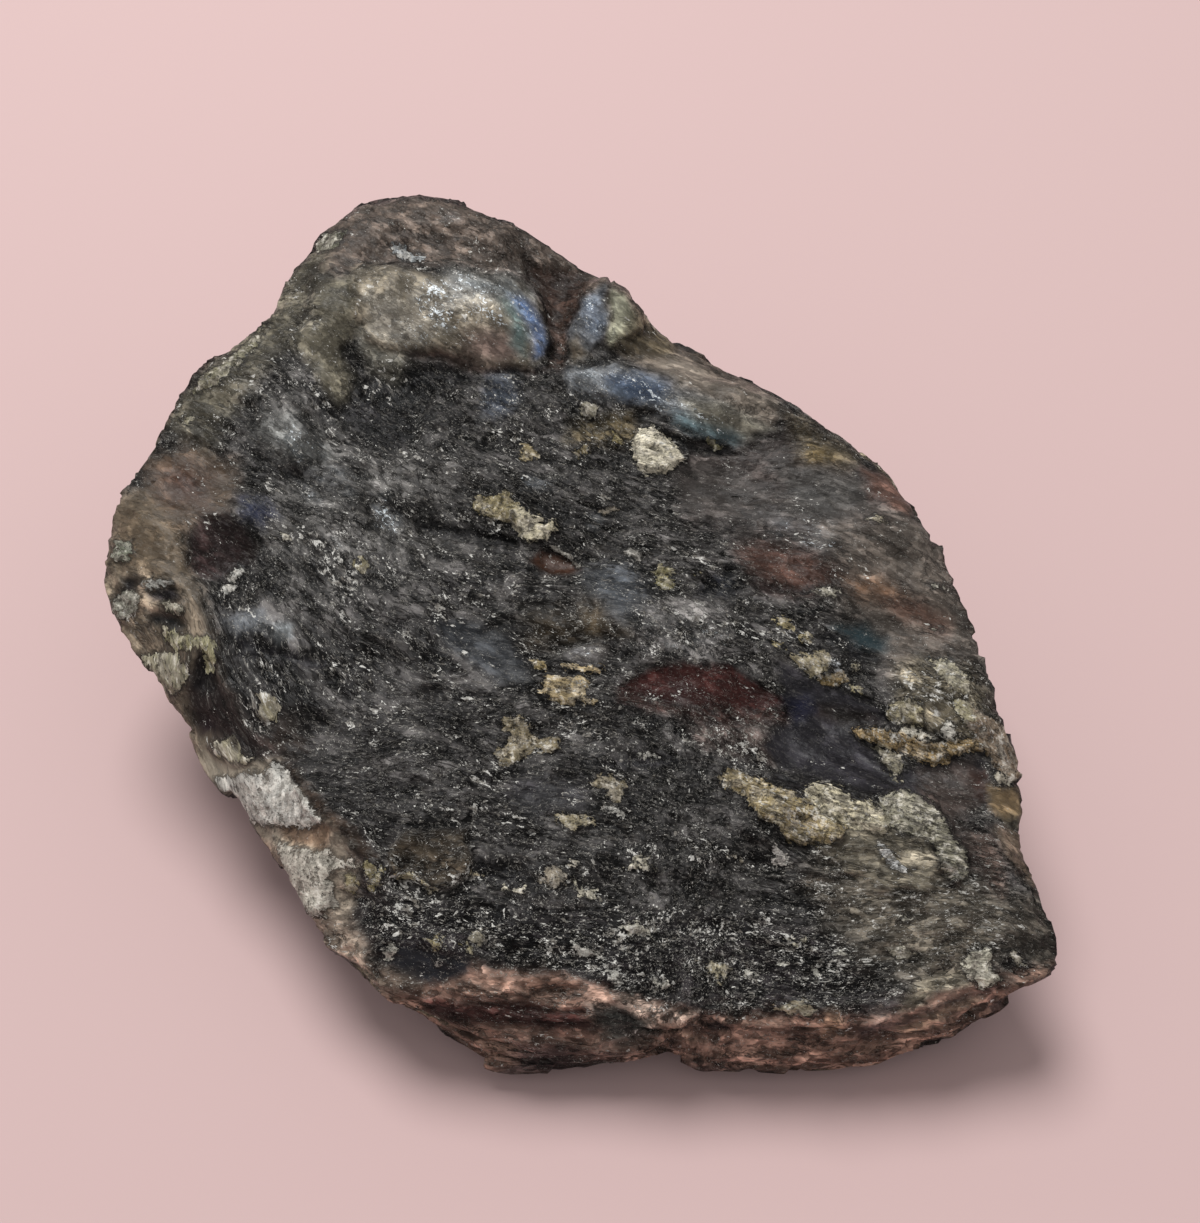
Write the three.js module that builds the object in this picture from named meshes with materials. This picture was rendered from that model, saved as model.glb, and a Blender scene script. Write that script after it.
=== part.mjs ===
// Rough labradorite chunk: one broken, unpolished stone that rests on a flat patch of its underside.
//
// Millimetres, +Z up. The origin is under the middle of the stone, on the surface it rests on.
// The stone is a wedge: a broad cleavage face tilts down towards the front (-Y), a low strip of
// broken layers runs along the front, and higher broken walls close the right side and the back.
//
// The solid is a sphere of near-equal triangles whose vertices are moved onto the stone. From the
// top pole down they make the cleavage face, the walls, and the flat patch underneath.

import * as THREE from "three";
import { mergeVertices } from "three/addons/utils/BufferGeometryUtils.js";

// ---------------------------------------------------------------------------------------------
// Driving dimensions

const SPLITS = 21; // cuts along each edge of the icosahedron
const FACE_TILT = THREE.MathUtils.degToRad(15); // of the cleavage face, down towards the front
const FACE_HEIGHT = 25.9; // the cleavage face's plane, straight above the origin
const MIDDLE = new THREE.Vector2(-1, -1); // the walls are laid out round this point
const SOLE_HEIGHT = 2.6; // where the walls turn under to the resting patch
const FACE_SHARE = 0.24; // the sphere above this height becomes the cleavage face
const SOLE_SHARE = -0.72; // the sphere below this height becomes the resting patch
const TURN_SHARE = 0.86; // of the wall, above the turn to the resting patch
const EDGE_SNAP = 0.021; // the sphere this near FACE_SHARE goes exactly onto the edge
const FACET_FADE = 0.3; // of the wall, from the edge down to where its facets cut fully
const WALL_PIVOT_HEIGHT = 18; // the wall facets are measured from this height over MIDDLE

// The stone's outline seen from above, anticlockwise from the right, at the edge of the
// cleavage face. drop is how far the edge lies below the face's plane, lip is the width over
// which the face bends down to it, foot is how far the wall leans out (+) or in (-) on its way
// down, and tuck is how far the resting patch lies inside the wall's foot.
const OUTLINE = [
  { x: 48.4, y: -23.5, drop: 1.6, lip: 4, foot: -5, tuck: 6 },
  { x: 45.0, y: -7.8, drop: 1.2, lip: 3, foot: -2, tuck: 5 },
  { x: 39.9, y: 6.7, drop: 1.4, lip: 3, foot: -3, tuck: 5 },
  { x: 36.1, y: 13.4, drop: 1.8, lip: 4, foot: -1, tuck: 5 },
  { x: 23.0, y: 22.9, drop: 1.4, lip: 4, foot: 0, tuck: 5 },
  { x: 15.0, y: 27.9, drop: 1.0, lip: 4, foot: -1, tuck: 5 },
  { x: 9.2, y: 31.9, drop: 1.0, lip: 4, foot: -3, tuck: 6 },
  { x: 5.3, y: 37.5, drop: 0.8, lip: 3, foot: -3, tuck: 6 },
  { x: -8.7, y: 45.3, drop: 1.4, lip: 5, foot: -4, tuck: 6 },
  { x: -16.5, y: 49.8, drop: 2.0, lip: 6, foot: -6, tuck: 6 },
  { x: -22.8, y: 49.8, drop: 2.4, lip: 6, foot: -6, tuck: 6 },
  { x: -27.6, y: 47.2, drop: 2.2, lip: 5, foot: -5, tuck: 6 },
  { x: -32.1, y: 40.2, drop: 1.8, lip: 5, foot: -7, tuck: 6 },
  { x: -35.1, y: 31.9, drop: 1.2, lip: 4, foot: -9, tuck: 6 },
  { x: -42.3, y: 24.2, drop: 1.0, lip: 4, foot: -12, tuck: 6 },
  { x: -45.2, y: 18.4, drop: 1.2, lip: 5, foot: -14, tuck: 6 },
  { x: -50.8, y: 8.0, drop: 2.4, lip: 6, foot: -19, tuck: 6 },
  { x: -51.1, y: 1.5, drop: 3.2, lip: 8, foot: -20, tuck: 6 },
  { x: -49.1, y: -4.1, drop: 3.8, lip: 9, foot: -19, tuck: 6 },
  { x: -46.6, y: -6.1, drop: 4.4, lip: 9, foot: -17, tuck: 6 },
  { x: -40.0, y: -16.0, drop: 5.8, lip: 7, foot: -13, tuck: 6 },
  { x: -31.4, y: -26.3, drop: 5.8, lip: 6, foot: -10, tuck: 6 },
  { x: -24.9, y: -36.5, drop: 4.8, lip: 6, foot: -7, tuck: 6 },
  { x: -16.2, y: -43.8, drop: 2.4, lip: 8, foot: -2, tuck: 7 },
  { x: -5.3, y: -45.3, drop: 1.4, lip: 9, foot: 2.8, tuck: 7 },
  { x: 4.5, y: -46.0, drop: 1.2, lip: 9, foot: 1.4, tuck: 5 },
  { x: 10.0, y: -46.0, drop: 1.2, lip: 9, foot: 0.3, tuck: 4 },
  { x: 16.3, y: -46.0, drop: 1.2, lip: 9, foot: 2.3, tuck: 5 },
  { x: 29.0, y: -46.0, drop: 1.2, lip: 8, foot: 1.8, tuck: 5 },
  { x: 39.0, y: -44.6, drop: 1.2, lip: 6, foot: 0, tuck: 5 },
  { x: 47.0, y: -42.8, drop: 1.2, lip: 4, foot: -2, tuck: 6 },
  { x: 50.8, y: -40.3, drop: 1.2, lip: 4, foot: -4, tuck: 7 },
  { x: 48.5, y: -35.0, drop: 1.6, lip: 5, foot: -5, tuck: 6 },
  { x: 47.3, y: -29.5, drop: 1.8, lip: 5, foot: -6, tuck: 6 },
];

// Swells (+rise) and hollows (-rise) of the cleavage face. Each is an oval whose half-axes are
// long and wide, turned anticlockwise by turn degrees. A high edge makes it flat-topped and steep.
const SWELLS = [
  { x: -13, y: 32.3, long: 11.5, wide: 5.6, turn: -4, rise: 3.4, edge: 3 }, // long pillow at the back
  { x: 4.6, y: 31.2, long: 5.2, wide: 4.6, turn: -20, rise: 2.6, edge: 2.5 }, // short pillow beside it
  { x: -0.6, y: 30, long: 6, wide: 1.6, turn: 86, rise: -1.2, edge: 1 }, // furrow between the pillows
  { x: -14, y: 44, long: 13, wide: 3.4, turn: -8, rise: 1.6, edge: 1.5 }, // crest behind the pillows
  { x: 12.5, y: 20.4, long: 12, wide: 3.2, turn: -13, rise: 2.6, edge: 1.6 }, // ridge before the pillows
  { x: -27.4, y: 31, long: 9, wide: 3, turn: 78, rise: 1.5, edge: 1.4 }, // olive rib
  { x: -21.5, y: 20, long: 6, wide: 4, turn: -25, rise: -1.5, edge: 1.2 }, // black hollow
  { x: -31.5, y: 18.5, long: 7, wide: 4.5, turn: -38, rise: 1.4, edge: 1.2 }, // grey swell, upper left
  { x: -40.5, y: 9.5, long: 6.5, wide: 5, turn: 30, rise: -1.4, edge: 1.2 }, // brown hollow at the left
  { x: -36.2, y: 1.4, long: 4.4, wide: 3.6, turn: -10, rise: -1.8, edge: 1.6 }, // maroon pocket
  { x: -11, y: 3.8, long: 8, wide: 3.4, turn: -14, rise: -1.8, edge: 1.4 }, // middle hollow
  { x: -6, y: 8, long: 5.2, wide: 2.8, turn: -30, rise: 1.2, edge: 1.4 }, // pale patch in the middle
  { x: 11.2, y: 13.4, long: 3.4, wide: 2.8, turn: 0, rise: 1.2, edge: 1.6 }, // pale patch, upper right
  { x: 23, y: 8, long: 10, wide: 6, turn: -28, rise: -1.1, edge: 1.2 }, // smooth grey slope
  { x: 6, y: -7.4, long: 10, wide: 4.4, turn: -10, rise: 1.7, edge: 1.3 }, // middle dome
  { x: -20, y: -4, long: 10, wide: 5, turn: -12, rise: 1.0, edge: 1.2 }, // left dome
  { x: 28, y: -18.6, long: 9.5, wide: 4, turn: -17, rise: -1.8, edge: 1.5 }, // blue-black hollow
  { x: 31, y: -31, long: 14, wide: 7.4, turn: -14, rise: 1.9, edge: 2 }, // broad plate, lower right
  { x: 40.5, y: -17, long: 7, wide: 4, turn: -25, rise: 1.7, edge: 1.5 }, // fibrous rib at the right
  { x: -15, y: -25, long: 8.5, wide: 7, turn: -20, rise: 1.3, edge: 1.4 }, // striped swell, lower left
  { x: -22, y: -29, long: 9, wide: 1.8, turn: -52, rise: 1.5, edge: 1.4 }, // brown edge rib
  { x: -21, y: -34.8, long: 2.8, wide: 2.2, turn: -40, rise: -1.6, edge: 1.4 }, // edge pit
  { x: 6, y: -36, long: 26, wide: 3, turn: 2, rise: -0.9, edge: 1.2 }, // front trough
];

// Flat fracture faces that cut the walls. bearing is the way a face looks, anticlockwise from
// +X, slope is how far it looks up (+) or down (-), and reach is its distance from the pivot.
const WALL_FACETS = [
  { bearing: 15, slope: -12, reach: 40.5 },
  { bearing: 47, slope: 6, reach: 34.5 },
  { bearing: 64, slope: -20, reach: 34.5 },
  { bearing: 93, slope: -9, reach: 46.5 },
  { bearing: 120, slope: -8, reach: 50 },
  { bearing: 149, slope: -24, reach: 38.5 },
  { bearing: 176, slope: -34, reach: 37.5 },
  { bearing: 216, slope: -30, reach: 36.5 },
  { bearing: 243, slope: -4, reach: 45 },
  { bearing: 332, slope: -12, reach: 61.5 },
];

// The stone is built of thin layers, parallel to the cleavage face. They stand in and out of
// the walls as steps, and their broken edges cross the cleavage face as low ledges.
const LAYER_THICKNESS = 4.2;
const LAYER_STEP = 0.9;
const LEDGE_SPACING = 8.5;
const LEDGE_HEIGHT = 0.7;
const LEDGE_BEARING = THREE.MathUtils.degToRad(-102); // the way the ledges step down
const COARSE_LUMPS = { size: 13, height: 0.9 };
const FINE_LUMPS = { size: 5, height: 0.45 };
const LUMP_STRETCH = 1.6; // the face's lumps are this many times longer in X than in Y
const STEP_FLAT = 0.62; // of each ledge's or layer's step, the rest being its rise

// The edges of the ledges and of the layers wander, by so many steps, over these distances.
const LEDGE_WANDER = { steps: 1.3, along: 26, across: 15 };
const LAYER_WANDER = { steps: 0.9, size: 19 };
const NOISE_SLICE = 3.7; // the height in the noise from which the ledges take theirs

const LEAST_FACING = 0.3; // a wall turned further than this from a fracture face isn't cut by it
const SAME_VERTEX = 1e-4; // the unit sphere's vertices nearer than this are one

// ---------------------------------------------------------------------------------------------
// Noise and easing

const CELL_CORNERS = [0, 1, 2, 3, 4, 5, 6, 7].map((i) => [i & 1, (i >> 1) & 1, (i >> 2) & 1]);

const fract = (value) => value - Math.floor(value);

// A repeatable number from 0 to 1 for each whole-numbered grid point.
function gridValue(x, y, z) {
  return fract(Math.sin(x * 127.1 + y * 311.7 + z * 74.7) * 43758.5453);
}

// Smooth noise from -1 to 1 that changes over a distance of one.
function noise(point) {
  const cell = point.clone().floor();
  const part = point.clone().sub(cell);
  const ease = new THREE.Vector3(
    THREE.MathUtils.smoothstep(part.x, 0, 1),
    THREE.MathUtils.smoothstep(part.y, 0, 1),
    THREE.MathUtils.smoothstep(part.z, 0, 1),
  );
  let sum = 0;
  for (const [dx, dy, dz] of CELL_CORNERS) {
    const weight =
      (dx ? ease.x : 1 - ease.x) * (dy ? ease.y : 1 - ease.y) * (dz ? ease.z : 1 - ease.z);
    sum += weight * gridValue(cell.x + dx, cell.y + dy, cell.z + dz);
  }
  return 2 * sum - 1;
}

const lumps = (point, { size, height }) => height * noise(point.clone().divideScalar(size));

// A staircase with one rounded step of height one for each unit of value.
function staircase(value) {
  return Math.floor(value) + THREE.MathUtils.smoothstep(fract(value), STEP_FLAT, 1);
}

// ---------------------------------------------------------------------------------------------
// Outline

// The outline's values where a ray from MIDDLE at the given bearing crosses it.
function outlineAt(bearing) {
  const ray = new THREE.Vector2(Math.cos(bearing), Math.sin(bearing));
  for (let i = 0; i < OUTLINE.length; i += 1) {
    const from = OUTLINE[i];
    const to = OUTLINE[(i + 1) % OUTLINE.length];
    const start = new THREE.Vector2(from.x, from.y).sub(MIDDLE);
    const end = new THREE.Vector2(to.x, to.y).sub(MIDDLE);
    const startSide = ray.cross(start);
    const endSide = ray.cross(end);
    if (startSide <= 0 && endSide > 0 && ray.dot(start) > 0) {
      const part = startSide / (startSide - endSide);
      const between = (key) => THREE.MathUtils.lerp(from[key], to[key], part);
      const edge = new THREE.Vector2(between("x"), between("y"));
      return {
        edge,
        outward: edge.clone().sub(MIDDLE).normalize(),
        radius: edge.distanceTo(MIDDLE),
        drop: between("drop"),
        lip: between("lip"),
        foot: between("foot"),
        tuck: between("tuck"),
      };
    }
  }
  throw new Error("the outline doesn't go round MIDDLE");
}

// ---------------------------------------------------------------------------------------------
// Cleavage face

const facePlane = (x, y) => FACE_HEIGHT + Math.tan(FACE_TILT) * y;

function swellAt(swell, x, y) {
  const turn = THREE.MathUtils.degToRad(swell.turn);
  const offset = new THREE.Vector2(x - swell.x, y - swell.y).rotateAround(new THREE.Vector2(), -turn);
  const distance = Math.hypot(offset.x / swell.long, offset.y / swell.wide);
  return swell.rise * Math.exp(-(distance ** (2 * swell.edge)));
}

// Low ledges that step down towards the front, with wandering edges.
function ledges(x, y) {
  const along = x * Math.cos(LEDGE_BEARING) + y * Math.sin(LEDGE_BEARING);
  const place = new THREE.Vector3(x / LEDGE_WANDER.along, y / LEDGE_WANDER.across, NOISE_SLICE);
  const steps = along / LEDGE_SPACING + LEDGE_WANDER.steps * noise(place);
  return LEDGE_HEIGHT * (steps - staircase(steps));
}

function relief(x, y) {
  const point = new THREE.Vector3(x, y * LUMP_STRETCH, 0);
  const swells = SWELLS.reduce((sum, swell) => sum + swellAt(swell, x, y), 0);
  return swells + ledges(x, y) + lumps(point, COARSE_LUMPS) + lumps(point, FINE_LUMPS);
}

function facePoint(outline, share) {
  const place = MIDDLE.clone().lerp(outline.edge, share);
  const inset = (1 - share) * outline.radius;
  const bend = Math.max(0, 1 - inset / outline.lip);
  const height = facePlane(place.x, place.y) - outline.drop * bend ** 2 + relief(place.x, place.y);
  return new THREE.Vector3(place.x, place.y, height);
}

// ---------------------------------------------------------------------------------------------
// Walls and resting patch

// Moves a point in towards the stone's upright axis until it lies behind every fracture face.
// strength, from 0 to 1, is how much of the way it goes.
function cutByFacets(point, outward, strength = 1) {
  const pivot = new THREE.Vector3(MIDDLE.x, MIDDLE.y, WALL_PIVOT_HEIGHT);
  for (const facet of WALL_FACETS) {
    const bearing = THREE.MathUtils.degToRad(facet.bearing);
    const slope = THREE.MathUtils.degToRad(facet.slope);
    const normal = new THREE.Vector3(
      Math.cos(bearing) * Math.cos(slope),
      Math.sin(bearing) * Math.cos(slope),
      Math.sin(slope),
    );
    const excess = normal.dot(point.clone().sub(pivot)) - facet.reach;
    const facing = normal.dot(outward);
    if (excess > 0 && facing > LEAST_FACING) {
      point.addScaledVector(outward, (-strength * excess) / facing);
    }
  }
}

function wallPoint(outline, share) {
  const top = facePoint(outline, 1);
  const outward = new THREE.Vector3(outline.outward.x, outline.outward.y, 0);
  const foot = top.clone().addScaledVector(outward, outline.foot).setZ(SOLE_HEIGHT);
  const sole = foot.clone().addScaledVector(outward, -outline.tuck).setZ(0);
  if (share > TURN_SHARE) {
    const turn = (share - TURN_SHARE) / (1 - TURN_SHARE);
    cutByFacets(foot, outward);
    cutByFacets(sole, outward);
    return foot.lerp(sole, turn);
  }
  const down = share / TURN_SHARE;
  const point = top.clone().lerp(foot, down);
  const depth = facePlane(point.x, point.y) - point.z;
  const wander = noise(point.clone().divideScalar(LAYER_WANDER.size));
  const layers = depth / LAYER_THICKNESS + LAYER_WANDER.steps * wander;
  const fade = Math.sin(Math.PI * Math.min(1, down)) ** 0.5;
  cutByFacets(point, outward, THREE.MathUtils.smoothstep(down, 0, FACET_FADE));
  const rough =
    LAYER_STEP * (layers - staircase(layers)) + lumps(point, COARSE_LUMPS) + lumps(point, FINE_LUMPS);
  return point.addScaledVector(outward, fade * rough);
}

function solePoint(outline, share) {
  const rim = wallPoint(outline, 1);
  return new THREE.Vector3(MIDDLE.x, MIDDLE.y, 0).lerp(rim, share).setZ(0);
}

// ---------------------------------------------------------------------------------------------
// The stone

// Where a point of the unit sphere goes on the stone. The square roots keep the triangles of
// the face and of the resting patch about as large near their middles as near their rims.
function onStone(direction) {
  const outline = outlineAt(Math.atan2(direction.y, direction.x));
  const height = Math.abs(direction.z - FACE_SHARE) < EDGE_SNAP ? FACE_SHARE : direction.z;
  if (height >= FACE_SHARE) return facePoint(outline, Math.sqrt((1 - height) / (1 - FACE_SHARE)));
  if (height < SOLE_SHARE) return solePoint(outline, Math.sqrt((1 + height) / (1 + SOLE_SHARE)));
  return wallPoint(outline, (FACE_SHARE - height) / (FACE_SHARE - SOLE_SHARE));
}

function makeStoneGeometry() {
  const sphere = new THREE.IcosahedronGeometry(1, SPLITS);
  sphere.deleteAttribute("normal");
  sphere.deleteAttribute("uv");
  const geometry = mergeVertices(sphere, SAME_VERTEX);
  const positions = geometry.getAttribute("position");
  for (let i = 0; i < positions.count; i += 1) {
    const placed = onStone(new THREE.Vector3().fromBufferAttribute(positions, i).normalize());
    positions.setXYZ(i, placed.x, placed.y, placed.z);
  }
  geometry.computeBoundingBox();
  const middle = geometry.boundingBox.getCenter(new THREE.Vector3());
  geometry.translate(-middle.x, -middle.y, -geometry.boundingBox.min.z);
  geometry.computeVertexNormals();
  return geometry;
}

// Dark grey-brown, half-shiny feldspar.
const stoneMaterial = new THREE.MeshStandardMaterial({
  color: 0x3b3632,
  roughness: 0.42,
  metalness: 0,
});

const stone = new THREE.Mesh(makeStoneGeometry(), stoneMaterial);
stone.name = "labradorite_chunk";

const chunk = new THREE.Group();
chunk.add(stone);

export default chunk;
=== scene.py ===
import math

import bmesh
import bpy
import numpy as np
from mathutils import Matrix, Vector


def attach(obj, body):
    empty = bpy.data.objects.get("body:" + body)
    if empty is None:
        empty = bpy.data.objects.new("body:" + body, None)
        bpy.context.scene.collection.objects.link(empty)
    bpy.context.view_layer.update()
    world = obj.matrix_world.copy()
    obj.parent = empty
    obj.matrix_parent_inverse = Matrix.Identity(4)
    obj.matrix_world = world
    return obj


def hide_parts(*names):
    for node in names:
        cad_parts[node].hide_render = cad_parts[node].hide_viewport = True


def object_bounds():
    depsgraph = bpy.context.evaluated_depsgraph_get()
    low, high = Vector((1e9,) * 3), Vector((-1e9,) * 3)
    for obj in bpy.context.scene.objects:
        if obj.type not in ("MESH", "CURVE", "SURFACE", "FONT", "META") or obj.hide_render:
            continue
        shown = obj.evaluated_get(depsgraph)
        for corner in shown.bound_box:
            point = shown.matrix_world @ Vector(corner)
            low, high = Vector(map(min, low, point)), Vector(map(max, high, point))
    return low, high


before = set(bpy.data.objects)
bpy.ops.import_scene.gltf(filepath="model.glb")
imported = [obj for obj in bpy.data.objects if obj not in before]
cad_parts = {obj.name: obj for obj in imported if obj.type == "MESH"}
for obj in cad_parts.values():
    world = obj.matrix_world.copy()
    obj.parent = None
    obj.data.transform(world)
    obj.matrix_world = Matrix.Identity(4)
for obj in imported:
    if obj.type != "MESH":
        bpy.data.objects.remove(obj)        # one node, the stone, on one body, root

# The looks of a rough labradorite chunk: a dark, half-shiny, layered stone with pale feldspar
# flakes, warm brown and maroon grains, and a silvery blue sheen on its two pillows and ridge.
#
# Everything below is in millimetres and in the stone's own layout, unless a name ends in _m.
# The cleavage face is the broad tilted face on top. Its patches are laid out flat on it, x to
# the right and y away from the front edge, as they look from VIEW_POINT. The front wall and the
# broken left edge carry on past the face's rim in the same layout.

cad_low, cad_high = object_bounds()

MM = 0.001
STONE_NODE = "labradorite_chunk"
LAYOUT_SHIFT = np.array([0.2, -0.73, 0.0])  # added to a place in the layout, gives the frame's
VIEW_POINT = np.array([4.5, -123.9, 165.7])
FACE_HEIGHT = 25.9  # of the cleavage face's plane, over the layout's origin
FACE_TILT = math.radians(15)
FACE_NORMAL = np.array([0.0, -math.sin(FACE_TILT), math.cos(FACE_TILT)])
MOST_TRIANGLES = 192_000
WELD_WITHIN = 0.002
OUTLINE_WANDER = 0.4  # how far the painted outlines stray from their corners' straight joins
SOLE_BLEND = 2.0  # the height over which the relief grows from nothing at the resting patch
SOLE_PITS = 0.5  # the depth of the pits in the resting patch
FINE_RELIEF = 0.32  # the depth of the relief that only the material shows
SUBDIVISIONS = 3

# ---------------------------------------------------------------------------------------------
# The patches of the cleavage face, each painted over the ones before it; a few stand for light
# rather than colour, as painted shadow or painted sheen, and are marked. A row is the colour, how
# softly the patch ends, how far it stands above the face, how smooth it is and how thickly it is
# strewn with bright flecks (both from 0 to 1), and its outline.

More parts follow.
